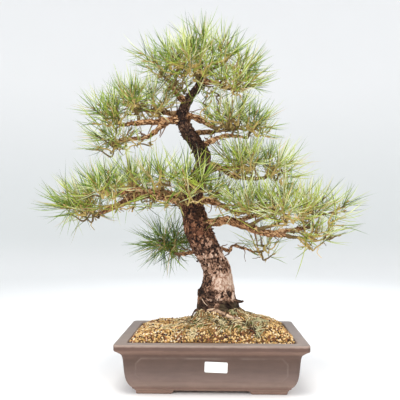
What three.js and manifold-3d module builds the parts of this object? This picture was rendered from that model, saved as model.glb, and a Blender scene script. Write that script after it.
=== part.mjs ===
// A Japanese black pine bonsai in a rectangular unglazed pot.
// Millimetres, +Z up, the front of the tree towards -Y. The layout is measured from the middle of the
// pot's foot, and the finished group is moved so that the origin is under the middle of the whole plant.
import * as THREE from "three";
import Module from "manifold-3d";

const wasm = await Module();
wasm.setup();

// Driving dimensions of the pot.
const POT = {
  halfWidth: 205,
  halfDepth: 150,
  height: 112,
  cornerRadius: 9,
  cornerSmallest: 4,
  cornerTightening: 0.1,
  cornerSteps: 2,
  footHeight: 8,
  floorTop: 20,
  rimWidth: 25,
};
const FOOT = { halfWidth: 163, halfDepth: 108, width: 84, depth: 62, outerSlope: 1.5, innerSlope: 6, sink: 4 };
const SOIL = {
  gap: 0.4,
  wallInset: POT.rimWidth + 2.4,
  cornerRadius: 14,
  edgeDrop: 6,
  plateauRadius: 54,
  plateauGap: 0.3,
  ringShares: [0, 0.25, 0.5, 0.75, 0.9, 1],
  sides: 28,
  shoulder: 0.7,
  shoulderLean: 0.145,
  stepPower: 14,
};

// How the outside of the pot draws in from the lip: distance in from the lip, height.
const POT_OUTSIDE = [
  [39, POT.footHeight],
  [34.5, 13],
  [32, 17.5],
  [27, 24.5],
  [22, 38],
  [18.5, 64],
  [16, 81],
  [11, 90.5],
  [3, 96.5],
  [0, 100],
  [0, 109],
  [3, POT.height],
];
// The inside, from the rim's inner edge down to the floor.
const POT_INSIDE = [
  [POT.rimWidth, POT.height],
  [POT.rimWidth + 2, POT.height - 4],
  [POT.rimWidth + 5, 60],
  [POT.rimWidth + 20, POT.floorTop],
];

// Limbs: centre points with a radius each. A bough starts on its parent's centre line and is cut by it.
const GROUND = 163;
const LIMBS = [
  {
    name: "trunk",
    path: [
      [14, 10, GROUND, 50],
      [13, 10, 190, 44],
      [13, 12, 218, 38.5],
      [11, 13, 244, 34.5],
      [3, 15, 271, 32.5],
      [-11, 17, 301, 32.5],
      [-27, 19, 334, 32],
      [-40, 21, 373, 30.5],
      [-48, 22, 413, 28],
      [-43, 22, 446, 25],
      [-29, 22, 478, 21],
      [-21, 20, 512, 18],
      [-30, 18, 545, 18],
      [-62, 13, 592, 16],
      [-71, 10, 624, 14],
      [-60, 8, 655, 12.5],
      [-34, 4, 693, 9.5],
      [-24, 1, 716, 7.5],
      [-25, -2, 738, 5.5],
    ],
    sides: 12,
    rings: 27,
    flares: true,
  },
  {
    name: "bough_lower_left",
    parent: "trunk",
    path: [
      [-48, 22, 408, 18],
      [-78, 16, 422, 15.5],
      [-100, 10, 430, 14],
      [-146, 0, 435, 12.5],
      [-184, -8, 425, 10],
      [-222, -15, 406, 7],
      [-262, -20, 388, 4.5],
    ],
  },
  {
    name: "bough_left_front",
    parent: "bough_lower_left",
    path: [
      [-150, -1, 434, 7],
      [-160, -30, 442, 6],
      [-182, -55, 440, 5],
      [-206, -72, 432, 3.6],
    ],
  },
  {
    name: "bough_left_back",
    parent: "bough_lower_left",
    path: [
      [-122, 5, 433, 8],
      [-130, 32, 443, 7],
      [-146, 54, 446, 5.5],
      [-166, 68, 444, 4.2],
    ],
  },
  {
    name: "bough_mid_left",
    parent: "trunk",
    path: [
      [-70, 11, 614, 11],
      [-92, 9, 613, 9.5],
      [-124, 5, 609, 8],
      [-171, 0, 606, 6.5],
      [-202, -5, 600, 4.8],
    ],
  },
  {
    name: "bough_mid_left_low",
    parent: "bough_mid_left",
    path: [
      [-106, 7, 611, 7],
      [-128, 8, 592, 6],
      [-152, 8, 573, 5.2],
      [-186, 10, 568, 4.4],
      [-220, 12, 565, 3.5],
    ],
  },
  {
    name: "bough_mid_left_back",
    parent: "trunk",
    path: [
      [-70, 10, 624, 8],
      [-88, 34, 634, 6.5],
      [-126, 58, 642, 5.4],
      [-166, 76, 652, 4],
    ],
  },
  {
    name: "bough_crown_left",
    parent: "trunk",
    path: [
      [-58, 8, 656, 8],
      [-76, 5, 667, 6.5],
      [-90, 1, 684, 5.2],
      [-98, -3, 699, 4.2],
    ],
  },
  {
    name: "bough_crown_right",
    parent: "trunk",
    path: [
      [-30, 4, 698, 8],
      [-5, 1, 702, 6.2],
      [20, 0, 696, 5.4],
      [44, -3, 688, 4.5],
      [64, -4, 686, 3.5],
    ],
  },
  {
    name: "bough_upper_right",
    parent: "trunk",
    path: [
      [-69, 10, 622, 9],
      [-48, 8, 621, 7.5],
      [-25, 5, 612, 7],
      [2, 0, 594, 5.5],
    ],
  },
  {
    name: "bough_upper_low",
    parent: "trunk",
    path: [
      [-31, 18, 546, 8],
      [-10, 13, 557, 6.2],
      [15, 8, 569, 5.2],
      [44, 3, 574, 4.6],
      [78, 0, 568, 3.6],
    ],
  },
  {
    name: "bough_upper_back",
    parent: "trunk",
    path: [
      [-50, 15, 577, 8],
      [-28, 42, 588, 6.5],
      [8, 64, 594, 5.2],
      [40, 78, 600, 4],
    ],
  },
  {
    name: "bough_mid_right",
    parent: "trunk",
    path: [
      [-21, 20, 509, 10],
      [0, 20, 504, 8.5],
      [25, 17, 497, 7.4],
      [48, 11, 479, 6],
      [84, 5, 471, 4.8],
      [110, 0, 470, 3.8],
    ],
  },
  {
    name: "bough_mid_right_back",
    parent: "trunk",
    path: [
      [-27, 22, 484, 8],
      [-2, 50, 496, 6.6],
      [28, 72, 504, 5.4],
      [54, 88, 508, 4],
    ],
  },
  {
    name: "bough_lower_right",
    parent: "trunk",
    path: [
      [-42, 21, 380, 14],
      [-14, 15, 368, 12],
      [8, 10, 368, 10.5],
      [38, 5, 372, 10],
      [70, 0, 361, 9.5],
      [118, -5, 345, 8.5],
      [172, -8, 337, 6],
    ],
  },
  {
    name: "bough_right_tip",
    parent: "bough_lower_right",
    path: [
      [150, -7, 340, 6],
      [180, -6, 349, 5.2],
      [202, -2, 351, 4.8],
      [222, 2, 354, 4],
    ],
  },
  {
    name: "bough_right_back",
    parent: "bough_lower_right",
    path: [
      [52, 3, 368, 7],
      [74, 34, 374, 6],
      [104, 58, 384, 5],
      [128, 76, 392, 3.8],
    ],
  },
  {
    name: "bough_inner_right",
    parent: "trunk",
    path: [
      [-42, 22, 428, 9],
      [-16, 18, 421, 7],
      [16, 12, 411, 5.6],
      [42, 2, 397, 4.6],
      [60, -8, 389, 3.6],
    ],
  },
  {
    name: "bough_back",
    parent: "trunk",
    path: [
      [-46, 22, 400, 13],
      [-44, 62, 404, 10],
      [-36, 100, 414, 7.5],
      [-32, 134, 418, 5],
    ],
  },
  {
    name: "bough_low_left",
    parent: "trunk",
    path: [
      [-18, 18, 312, 7],
      [-48, 34, 295, 5.5],
      [-70, 50, 290, 4.8],
      [-86, 64, 290, 4.2],
    ],
  },
  {
    name: "bough_low_right",
    parent: "trunk",
    path: [
      [-5, 17, 300, 7],
      [26, 27, 303, 5.2],
      [45, 34, 299, 4.8],
      [50, 40, 310, 4],
      [72, 45, 306, 3.4],
      [102, 50, 295, 2.8],
    ],
  },
];
const BOUGH = { sides: 6, thickSides: 8, thickFrom: 12, ringsPerSpan: 1.5, clearance: 0.4 };
// Buttresses round the trunk's foot that fade out with height, and slight swellings on every limb.
const FLARE = { depth: 0.2, lobes: 5, phase: 0.6, fadeHeight: 22 };
const SWELLING = { depth: 0.03, perRing: 2.3, twist: 1.7 };

// Roots that show on the mound: plan points with a radius, lying partly sunk in the soil.
const ROOTS = [
  {
    name: "root_front",
    path: [
      [10, -30, 8],
      [30, -44, 6.5],
      [52, -52, 5],
      [76, -54, 3],
    ],
  },
];

const ROOT = { rise: 0.35, ringsPerSpan: 2 };

// Masses of needles: the limb and the share of its length where the stem leaves it, the middle of the
// shoots, how far they reach each way from it, the way the shoots lean, and how many there are.
const MASSES = [
  ["needles_lower_left_tip", "bough_lower_left", 1, [-294, -24, 404], [38, 40, 16], [-0.7, -0.1, 0.05], 8],
  ["needles_lower_left_front", "bough_left_front", 1, [-232, -84, 434], [32, 30, 10], [-0.3, -0.4, 0.2], 5],
  ["needles_lower_left_middle", "bough_left_front", 0.5, [-186, -28, 452], [38, 32, 10], [-0.1, -0.1, 0.5], 6],
  ["needles_lower_left_inner", "bough_lower_left", 0.36, [-116, -46, 456], [40, 32, 9], [0, -0.15, 0.5], 6],
  ["needles_lower_left_heart", "bough_lower_left", 0.2, [-50, -70, 448], [32, 28, 9], [0.15, -0.3, 0.25], 5],
  ["needles_lower_left_rear", "bough_left_back", 1, [-204, 90, 450], [50, 36, 12], [-0.2, 0.35, 0.25], 7],
  ["needles_mid_left_tip", "bough_mid_left", 1, [-234, -16, 618], [28, 36, 12], [-0.5, -0.1, 0.2], 6],
  ["needles_mid_left_top", "bough_mid_left", 0.75, [-190, -12, 650], [34, 38, 10], [-0.15, -0.1, 0.5], 6],
  ["needles_mid_left_inner", "bough_mid_left", 0.45, [-138, 6, 650], [26, 34, 9], [0.05, 0, 0.6], 5],
  ["needles_mid_left_back", "bough_mid_left_back", 1, [-188, 88, 664], [36, 34, 12], [-0.25, 0.35, 0.3], 5],
  ["needles_mid_left_low", "bough_mid_left_low", 1, [-238, 16, 562], [22, 34, 8], [-0.6, 0.1, 0], 5],
  ["needles_crown_left_tip", "bough_crown_left", 1, [-116, 0, 728], [22, 34, 10], [-0.3, 0, 0.3], 5],
  ["needles_crown_left", "bough_crown_left", 0.8, [-78, -36, 736], [28, 30, 10], [-0.15, -0.25, 0.5], 6],
  ["needles_crown_top", "trunk", 1, [-26, -4, 770], [32, 34, 8], [0, 0, 0.8], 7],
  ["needles_crown_right_top", "trunk", 0.955, [26, -12, 752], [28, 34, 9], [0.25, -0.05, 0.6], 6],
  ["needles_crown_right", "bough_crown_right", 1, [68, 2, 720], [26, 36, 14], [0.45, 0, 0.25], 6],
  ["needles_crown_right_low", "bough_crown_right", 0.7, [52, -42, 680], [26, 20, 8], [0.35, -0.35, 0], 4],
  ["needles_crown_front", "trunk", 0.91, [-40, -72, 718], [34, 24, 9], [0, -0.5, 0.2], 5],
  ["needles_crown_back", "trunk", 0.9, [-14, 74, 738], [38, 30, 10], [0.1, 0.45, 0.3], 6],
  ["needles_crown_back_left", "bough_crown_left", 0.55, [-92, 64, 716], [30, 28, 10], [-0.25, 0.45, 0.25], 5],
  ["needles_upper_right_inner", "bough_upper_right", 1, [44, -12, 600], [30, 34, 9], [0.1, -0.1, 0.5], 6],
  ["needles_upper_right_tip", "bough_upper_low", 1, [90, -2, 590], [24, 36, 10], [0.4, -0.05, 0.25], 6],
  ["needles_upper_right_back", "bough_upper_back", 1, [62, 84, 612], [36, 32, 10], [0.2, 0.4, 0.25], 5],
  ["needles_mid_right_inner", "bough_mid_right", 0.72, [80, -22, 494], [32, 32, 9], [0.05, -0.2, 0.45], 6],
  ["needles_mid_right_tip", "bough_mid_right", 1, [142, -2, 488], [30, 38, 10], [0.5, 0, 0.15], 6],
  ["needles_mid_right_back", "bough_mid_right_back", 1, [76, 94, 522], [36, 32, 10], [0.2, 0.45, 0.2], 5],
  ["needles_lower_right_inner", "bough_inner_right", 1, [90, -28, 400], [34, 32, 9], [0, -0.15, 0.4], 6],
  ["needles_lower_right_middle", "bough_lower_right", 0.7, [156, -22, 404], [34, 34, 12], [0.05, -0.1, 0.5], 6],
  ["needles_lower_right_front", "bough_lower_right", 0.78, [166, -84, 380], [36, 22, 8], [0.1, -0.5, 0.25], 5],
  ["needles_lower_right_tip", "bough_right_tip", 1, [234, 2, 388], [33, 42, 12], [0.45, 0, 0.2], 7],
  ["needles_lower_right_under", "bough_lower_right", 1, [236, -8, 338], [24, 28, 6], [0.55, -0.1, 0], 4],
  ["needles_lower_right_back", "bough_right_back", 1, [140, 90, 412], [42, 36, 10], [0.2, 0.4, 0.25], 6],
  ["needles_back_left", "bough_back", 1, [-60, 152, 436], [36, 28, 10], [-0.35, 0.45, 0.2], 5],
  ["needles_back_right", "bough_back", 0.7, [14, 130, 442], [32, 28, 10], [0.3, 0.35, 0.25], 5],
  ["needles_low_left", "bough_low_left", 1, [-106, 90, 310], [22, 22, 12], [-0.1, 0.2, 0.2], 4],
  ["needles_low_right", "bough_low_right", 1, [126, 52, 308], [14, 14, 4], [0.3, 0, 0.4], 2],
];

// How shoots are set out round the middle of their mass, and how the wood reaches them.
const GROWTH = {
  goldenAngle: Math.PI * (3 - Math.sqrt(5)),
  turnPerMass: 1.1,
  firstSeed: 101,
  seedStep: 37,
  jitter: 0.22,
  headingJitter: 0.6,
  spread: 0.85,
  lift: 0.55,
  spineDrop: 10,
  forkShare: 0.58,
  stemBend: 5,
  twigReturn: 0.42,
  raises: [0, 9, 18, 28],
  joints: [0.5, 0.6, 0.7, 0.8, 0.9, 1],
  crowding: 25,
};
const WOOD = { stemRadius: 3.8, stemSides: 4, stemRings: 3, forkRadius: 2.8, spineRadius: 2.3, gap: 0.6 };
// A shoot and its twig in one skin: how far each ring stands from the shoot's foot, and its radius.
const SHOOT = {
  sides: 3,
  startRadius: 1.1,
  twigRadius: 2.2,
  lowRing: 5,
  lowRadius: 4.8,
  highRing: 18,
  highRadius: 4,
  tip: 28,
};
// The needles drawn out of a shoot's faces, row by row: their tilt away from the shoot in degrees, how
// far up it they leave it, and their turn round it as a share of one side.
const NEEDLE_ROWS = {
  low: { tilt: 74, height: 9, turn: 0.62 },
  middle: { tilt: 50, height: 13, turn: 0.3 },
  top: { tilt: 24, height: 21, turn: 0.5 },
};
// A needle that would touch something is tried again at each shorter trim. Its foot, inside the tuft, is
// left out of that test.
const NEEDLE = {
  length: 84,
  shortest: 0.84,
  scatter: 8,
  trims: [1, 0.8, 0.62, 0.46],
  foot: 14,
  clearance: 2.2,
  ownClearance: 2.4,
};
const SPACE = { lift: 20, lean: 16, margin: 2.2, coreMargin: 6.5, tipMargin: 4.5, shrink: 0.86, tries: 5 };
const STEM_GAP = 0.35;
const STEM_SHARE_OF_LIMB = 0.85;

const UP = new THREE.Vector3(0, 0, 1);

// Repeatable random numbers from 0 to 1.
function seededRandom(seed) {
  let state = seed >>> 0;
  return () => {
    state = (Math.imul(state, 1664525) + 1013904223) >>> 0;
    return state / 4294967296;
  };
}

// A smooth line through points that each carry a radius.
class TaperedLine {
  constructor(rows) {
    this.points = rows.map(([x, y, z]) => new THREE.Vector3(x, y, z));
    this.radii = rows.map((row) => row[3]);
    this.curve = new THREE.CatmullRomCurve3(this.points, false, "catmullrom", 0.5);
  }
  at(share) {
    return this.curve.getPoint(share);
  }
  tangent(share) {
    return this.curve.getTangent(share);
  }
  radius(share) {
    const place = share * (this.radii.length - 1);
    const before = Math.min(Math.floor(place), this.radii.length - 2);
    return THREE.MathUtils.lerp(this.radii[before], this.radii[before + 1], place - before);
  }
  capsules(count) {
    const found = [];
    for (let i = 0; i < count; i++) {
      const [from, to] = [i / count, (i + 1) / count];
      found.push({ a: this.at(from), b: this.at(to), radius: Math.max(this.radius(from), this.radius(to)) });
    }
    return found;
  }
}

// A closed tube round ring centres, with a radius for each ring and corner.
function tubeGeometry(centres, tangents, sides, radiusAt) {
  const positions = [];
  let across = new THREE.Vector3(1, 0, 0);
  centres.forEach((centre, ring) => {
    const along = tangents[ring];
    if (Math.abs(across.dot(along)) > 0.95) across = new THREE.Vector3(0, 1, 0);
    across = across.clone().addScaledVector(along, -across.dot(along)).normalize();
    const side = new THREE.Vector3().crossVectors(along, across);
    for (let k = 0; k < sides; k++) {
      const angle = (2 * Math.PI * k) / sides;
      const radius = radiusAt(ring, angle);
      const point = centre
        .clone()
        .addScaledVector(across, radius * Math.cos(angle))
        .addScaledVector(side, radius * Math.sin(angle));
      positions.push(point.x, point.y, point.z);
    }
  });
  return stackedSkin(positions, sides);
}

// Rings of points, given one after another, joined into a closed skin with a flat cap at each end.
function stackedSkin(positions, sides) {
  const index = [];
  const last = positions.length / 3 - sides;
  for (let a = 0; a < last; a++) {
    const b = (a + 1) % sides === 0 ? a + 1 - sides : a + 1;
    index.push(a, b, b + sides, a, b + sides, a + sides);
  }
  for (let k = 1; k < sides - 1; k++) {
    index.push(0, k + 1, k);
    index.push(last, last + k, last + k + 1);
  }
  return geometryOf(positions, index);
}

function geometryOf(positions, index) {
  return new THREE.BufferGeometry()
    .setAttribute("position", new THREE.Float32BufferAttribute(positions, 3))
    .setIndex(index);
}

function solidOf(geometry) {
  return new wasm.Manifold(
    new wasm.Mesh({
      numProp: 3,
      vertProperties: new Float32Array(geometry.attributes.position.array),
      triVerts: new Uint32Array(geometry.index.array),
    }),
  );
}

function geometryFrom(solid) {
  const mesh = solid.getMesh();
  const geometry = geometryOf(Array.from(mesh.vertProperties), Array.from(mesh.triVerts));
  geometry.computeVertexNormals();
  return geometry;
}

function largestPiece(solid) {
  return solid.decompose().reduce((a, b) => (a.volume() >= b.volume() ? a : b));
}

// The limb's tube, made wider all over by grow when it serves to cut its neighbours.
function limbSolid(limb, grow = 0) {
  const { line, sides, rings, flares } = limb;
  const shares = Array.from({ length: rings + 1 }, (_, i) => i / rings);
  const centres = shares.map((share) => line.at(share));
  const tangents = shares.map((share) => line.tangent(share));
  if (flares) tangents[0] = UP.clone();
  centres[0].addScaledVector(tangents[0], -grow);
  centres[rings].addScaledVector(tangents[rings], grow);
  const radiusAt = (ring, angle) => {
    const rise = centres[ring].z - centres[0].z;
    const fade = flares ? FLARE.depth * Math.exp(-rise / FLARE.fadeHeight) : 0;
    const buttress = 1 + fade * Math.cos(FLARE.lobes * angle + FLARE.phase);
    const wave = Math.sin(SWELLING.perRing * ring + SWELLING.twist * Math.sin(angle));
    return line.radius(shares[ring]) * buttress * (1 + SWELLING.depth * wave) + grow;
  };
  return solidOf(tubeGeometry(centres, tangents, sides, radiusAt));
}

function prepareLimbs() {
  const limbs = new Map();
  for (const row of LIMBS) {
    const line = new TaperedLine(row.path);
    const spans = row.path.length - 1;
    const roundness = row.path[0][3] >= BOUGH.thickFrom ? BOUGH.thickSides : BOUGH.sides;
    limbs.set(row.name, {
      ...row,
      line,
      rings: row.rings ?? Math.ceil(spans * BOUGH.ringsPerSpan),
      sides: row.sides ?? roundness,
      capsules: line.capsules(4 * spans),
    });
  }
  return limbs;
}

// Shortest distance between two straight pieces.
function distanceBetween(a, b, c, d) {
  const [u, v, w] = [b.clone().sub(a), d.clone().sub(c), a.clone().sub(c)];
  const [uu, uv, vv, uw, vw] = [u.dot(u), u.dot(v), v.dot(v), u.dot(w), v.dot(w)];
  const cross = uu * vv - uv * uv;
  const nearlyNothing = 1e-9;
  let s = cross > nearlyNothing ? THREE.MathUtils.clamp((uv * vw - vv * uw) / cross, 0, 1) : 0;
  const t = THREE.MathUtils.clamp((uv * s + vw) / Math.max(vv, nearlyNothing), 0, 1);
  s = THREE.MathUtils.clamp((uv * t - uw) / Math.max(uu, nearlyNothing), 0, 1);
  return a.clone().addScaledVector(u, s).distanceTo(c.clone().addScaledVector(v, t));
}

function clearOf(capsules, a, b, gap) {
  return capsules.every((c) => distanceBetween(a, b, c.a, c.b) > c.radius + gap);
}

// Each mass keeps to the points that are nearer to its own middle than to another's.
function setSpaces(masses) {
  for (const mass of masses) {
    mass.middle = mass.hub.clone().addScaledVector(UP, SPACE.lift).addScaledVector(mass.lean, SPACE.lean);
    mass.weight = mass.reach.x * mass.reach.y;
  }
}

function inSpace(mass, masses, point, margin) {
  const own = point.distanceToSquared(mass.middle) - mass.weight;
  return masses.every((other) => {
    if (other === mass) return true;
    const theirs = point.distanceToSquared(other.middle) - other.weight;
    return (theirs - own) / (2 * mass.middle.distanceTo(other.middle)) > margin;
  });
}

function prepareMasses() {
  const masses = MASSES.map(([name, limb, share, hub, reach, lean, count], order) => ({
    name,
    limb,
    share,
    hub: new THREE.Vector3(...hub),
    reach: new THREE.Vector3(...reach),
    lean: new THREE.Vector3(...lean),
    count,
    random: seededRandom(GROWTH.firstSeed + GROWTH.seedStep * order),
    turn: GROWTH.turnPerMass * order,
  }));
  setSpaces(masses);
  return masses;
}

// Where the shoots of a mass stand: an even dome of points round its middle, drawn in where the space ends.
function placeShoots(mass, masses) {
  const { random, reach, hub, lean } = mass;
  const wobble = () => 2 * random() - 1;
  const shoots = [];
  for (let k = 0; k < mass.count; k++) {
    const share = (k + 0.5) / mass.count;
    const ring = Math.sqrt(share);
    const angle = mass.turn + k * GROWTH.goldenAngle;
    const out = new THREE.Vector3(ring * Math.cos(angle), ring * Math.sin(angle), 1 - 2 * share);
    const shake = new THREE.Vector3(wobble(), wobble(), wobble()).multiplyScalar(GROWTH.jitter);
    const offset = out.clone().add(shake).multiply(reach);
    const heading = lean
      .clone()
      .addScaledVector(UP, GROWTH.lift)
      .add(new THREE.Vector3(out.x, out.y, 0).multiplyScalar(GROWTH.spread))
      .addScaledVector(shake, GROWTH.headingJitter)
      .normalize();
    const turn = random() * Math.PI;
    let base = hub.clone().add(offset);
    for (let n = 0; n < SPACE.tries && !inSpace(mass, masses, base, SPACE.coreMargin); n++) {
      base = hub.clone().add(offset.multiplyScalar(SPACE.shrink));
    }
    shoots.push({ base, heading, turn, fits: inSpace(mass, masses, base, SPACE.coreMargin) });
  }
  return shoots;
}

// The stem from the limb to the fork under the shoots, and on along the spine of the mass.
function stemLine(mass, limb) {
  const { hub, random } = mass;
  const start = limb.line.at(mass.share);
  const radius = Math.min(WOOD.stemRadius, STEM_SHARE_OF_LIMB * limb.line.radius(mass.share));
  if (mass.share === 1) start.addScaledVector(limb.line.tangent(1), STEM_GAP);
  const spine = hub.clone().addScaledVector(UP, -GROWTH.spineDrop);
  const fork = start.clone().lerp(spine, GROWTH.forkShare);
  const bend = start.clone().lerp(fork, 0.5);
  if (mass.share === 1) {
    bend.lerp(start.clone().addScaledVector(limb.line.tangent(1), 0.5 * start.distanceTo(fork)), 0.5);
  }
  bend.x += GROWTH.stemBend * (2 * random() - 1);
  bend.y += GROWTH.stemBend * (2 * random() - 1);
  return new TaperedLine([
    [...start.toArray(), radius],
    [...bend.toArray(), 0.5 * (radius + WOOD.forkRadius)],
    [...fork.toArray(), WOOD.forkRadius],
    [...spine.toArray(), WOOD.spineRadius],
  ]);
}

// Twigs join each shoot to the nearest wood of its mass, and arrive along the shoot's own heading.
function growWood(mass, masses, limbs) {
  const rest = [...limbs.values(), ...masses].filter((piece) => piece !== mass);
  const others = rest.flatMap((piece) => piece.capsules);
  const joints = GROWTH.joints.map((share) => ({ point: mass.stem.at(share), used: 0 }));
  const fork = mass.stem.at(2 / 3);
  const shoots = placeShoots(mass, masses);
  shoots.sort((a, b) => a.base.distanceTo(fork) - b.base.distanceTo(fork));
  for (const shoot of shoots) {
    if (!shoot.fits) continue;
    for (const raise of GROWTH.raises) {
      const base = shoot.base.clone().addScaledVector(UP, raise);
      const cost = (joint) => joint.point.distanceTo(base) + GROWTH.crowding * joint.used;
      const joint = joints.reduce((a, b) => (cost(a) <= cost(b) ? a : b));
      const from = joint.point;
      const bend = base.clone().addScaledVector(shoot.heading, -GROWTH.twigReturn * from.distanceTo(base));
      const end = base.clone().addScaledVector(shoot.heading, SHOOT.tip);
      const clear =
        inSpace(mass, masses, base, SPACE.coreMargin) &&
        inSpace(mass, masses, end, SPACE.tipMargin) &&
        clearOf(others, from, bend, SHOOT.twigRadius + WOOD.gap) &&
        clearOf(others, bend, end, SHOOT.lowRadius + WOOD.gap);
      if (!clear) continue;
      const capsules = [
        { a: from, b: bend, radius: SHOOT.twigRadius },
        { a: bend, b: base, radius: SHOOT.twigRadius + WOOD.gap },
        { a: base, b: end, radius: SHOOT.highRadius },
      ];
      mass.twigs.push({ from, bend, base, end, heading: shoot.heading, turn: shoot.turn, capsules });
      mass.capsules.push(...capsules);
      joint.used += 1;
      joints.push({ point: bend, used: 0 });
      break;
    }
  }
}

// A twig and its shoot in one skin. The shoot is a slim core whose faces are drawn out into needles:
// tipFor gives the tip of a face's needle, or nothing where the face stays as it is.
function shootSolid(twig, tipFor) {
  const { sides } = SHOOT;
  const turn = new THREE.Quaternion().setFromUnitVectors(UP, twig.heading);
  const frame = new THREE.Matrix4().makeRotationFromQuaternion(turn).setPosition(twig.base);
  const across = new THREE.Vector3(1, 0, 0).applyQuaternion(turn);
  const side = new THREE.Vector3(0, 1, 0).applyQuaternion(turn);
  const step = (2 * Math.PI) / sides;
  const points = [];
  const ringRound = (centre, radius) => {
    for (let k = 0; k < sides; k++) {
      const angle = twig.turn + k * step;
      points.push(
        centre
          .clone()
          .addScaledVector(across, radius * Math.cos(angle))
          .addScaledVector(side, radius * Math.sin(angle)),
      );
    }
  };
  ringRound(twig.from, SHOOT.startRadius);
  ringRound(twig.bend, SHOOT.twigRadius);
  ringRound(twig.base.clone().addScaledVector(twig.heading, SHOOT.lowRing), SHOOT.lowRadius);
  ringRound(twig.base.clone().addScaledVector(twig.heading, SHOOT.highRing), SHOOT.highRadius);
  points.push(twig.end);
  const at = (ring, k) => ring * sides + (k % sides);
  const index = [];
  const needle = (corners, k, row) => {
    const tip = tipFor(frame, twig.turn + (k + row.turn) * step, row);
    if (!tip) {
      index.push(...corners);
      return;
    }
    const apex = points.push(tip) - 1;
    corners.forEach((corner, i) => index.push(corner, corners[(i + 1) % 3], apex));
  };
  for (let k = 0; k < sides; k++) {
    for (const ring of [0, 1]) {
      index.push(at(ring, k), at(ring, k + 1), at(ring + 1, k + 1));
      index.push(at(ring, k), at(ring + 1, k + 1), at(ring + 1, k));
    }
    needle([at(2, k), at(2, k + 1), at(3, k + 1)], k, NEEDLE_ROWS.low);
    needle([at(2, k), at(3, k + 1), at(3, k)], k, NEEDLE_ROWS.middle);
    needle([at(3, k), at(3, k + 1), 4 * sides], k, NEEDLE_ROWS.top);
  }
  for (let k = 1; k < sides - 1; k++) index.push(at(0, 0), at(0, k + 1), at(0, k));
  return solidOf(geometryOf(points.flatMap((p) => p.toArray()), index));
}

// The stem of a mass, cut clear of the limb that it leaves.
function stemSolid(mass, limb) {
  const shares = Array.from({ length: WOOD.stemRings + 1 }, (_, i) => i / WOOD.stemRings);
  const centres = shares.map((share) => mass.stem.at(share));
  const tangents = shares.map((share) => mass.stem.tangent(share));
  const radiusAt = (ring) => mass.stem.radius(shares[ring]);
  if (mass.share === 1) tangents[0] = limb.line.tangent(1);
  const solid = solidOf(tubeGeometry(centres, tangents, WOOD.stemSides, radiusAt));
  return mass.share === 1 ? solid : largestPiece(solid.subtract(limbSolid(limb, BOUGH.clearance)));
}

// Where a needle ends: at its full length, at a shorter trim, or nowhere if it finds no room.
function findNeedle(mass, masses, obstacles, grown, frame, angle, row) {
  const tilt = THREE.MathUtils.degToRad(row.tilt + NEEDLE.scatter * (2 * mass.random() - 1));
  const length = NEEDLE.length * THREE.MathUtils.lerp(NEEDLE.shortest, 1, mass.random());
  const way = new THREE.Vector3(
    Math.sin(tilt) * Math.cos(angle),
    Math.sin(tilt) * Math.sin(angle),
    Math.cos(tilt),
  ).transformDirection(frame);
  const from = new THREE.Vector3(0, 0, row.height).applyMatrix4(frame);
  const foot = from.clone().addScaledVector(way, NEEDLE.foot);
  for (const trim of NEEDLE.trims) {
    const tip = from.clone().addScaledVector(way, length * trim);
    const free =
      inSpace(mass, masses, tip, SPACE.margin) &&
      clearOf(obstacles, foot, tip, NEEDLE.clearance) &&
      clearOf(grown, foot, tip, NEEDLE.ownClearance);
    if (free) return { a: foot, b: tip, radius: 0 };
  }
  return null;
}

// One mass: stem, twigs and needled shoots fused into a single body.
function massSolid(mass, masses, limbs) {
  const wood = [...limbs.values(), ...masses].flatMap((piece) => piece.capsules);
  const grown = [];
  let solid = stemSolid(mass, limbs.get(mass.limb));
  for (const twig of mass.twigs) {
    const obstacles = wood.filter((capsule) => !twig.capsules.includes(capsule));
    const fresh = [];
    const tipFor = (frame, angle, row) => {
      const needle = findNeedle(mass, masses, obstacles, grown, frame, angle, row);
      if (needle) fresh.push(needle);
      return needle?.b;
    };
    solid = solid.add(shootSolid(twig, tipFor));
    grown.push(...fresh);
  }
  return largestPiece(solid);
}

// A ring of points round a rectangle with rounded corners.
function roundedRing(halfWidth, halfDepth, radius, height) {
  const ring = [];
  const corners = [
    [1, 1, 0],
    [-1, 1, 1],
    [-1, -1, 2],
    [1, -1, 3],
  ];
  for (const [sx, sy, quarter] of corners) {
    for (let k = 0; k <= POT.cornerSteps; k++) {
      const angle = (Math.PI / 2) * (quarter + k / POT.cornerSteps);
      ring.push([
        sx * (halfWidth - radius) + radius * Math.cos(angle),
        sy * (halfDepth - radius) + radius * Math.sin(angle),
        height,
      ]);
    }
  }
  return ring;
}

function ringedSolid(rings) {
  return solidOf(stackedSkin(rings.flat(2), rings[0].length));
}

function footSolid(sx, sy) {
  const outline = new THREE.Shape();
  outline.moveTo(0, FOOT.sink);
  outline.lineTo(0, 0);
  outline.lineTo(FOOT.outerSlope, -POT.footHeight);
  outline.lineTo(FOOT.width - FOOT.innerSlope, -POT.footHeight);
  outline.lineTo(FOOT.width, 0);
  outline.lineTo(FOOT.width, FOOT.sink);
  const geometry = new THREE.ExtrudeGeometry(outline, { depth: FOOT.depth, bevelEnabled: false });
  geometry.rotateX(Math.PI / 2);
  geometry.translate(-FOOT.halfWidth, -FOOT.halfDepth + FOOT.depth, POT.footHeight);
  if (sx > 0) geometry.rotateZ(Math.PI);
  const solid = solidOf(mergedCorners(geometry));
  return sx * sy > 0 ? solid : solid.mirror([0, 1, 0]);
}

// The same shape with its shared corners merged.
function mergedCorners(geometry) {
  const found = new Map();
  const positions = [];
  const from = geometry.attributes.position;
  const index = [];
  for (let i = 0; i < from.count; i++) {
    const corner = [from.getX(i), from.getY(i), from.getZ(i)];
    const key = corner.map((v) => v.toFixed(3)).join();
    if (!found.has(key)) found.set(key, positions.push(...corner) / 3 - 1);
    index.push(found.get(key));
  }
  return geometryOf(positions, index);
}

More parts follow.
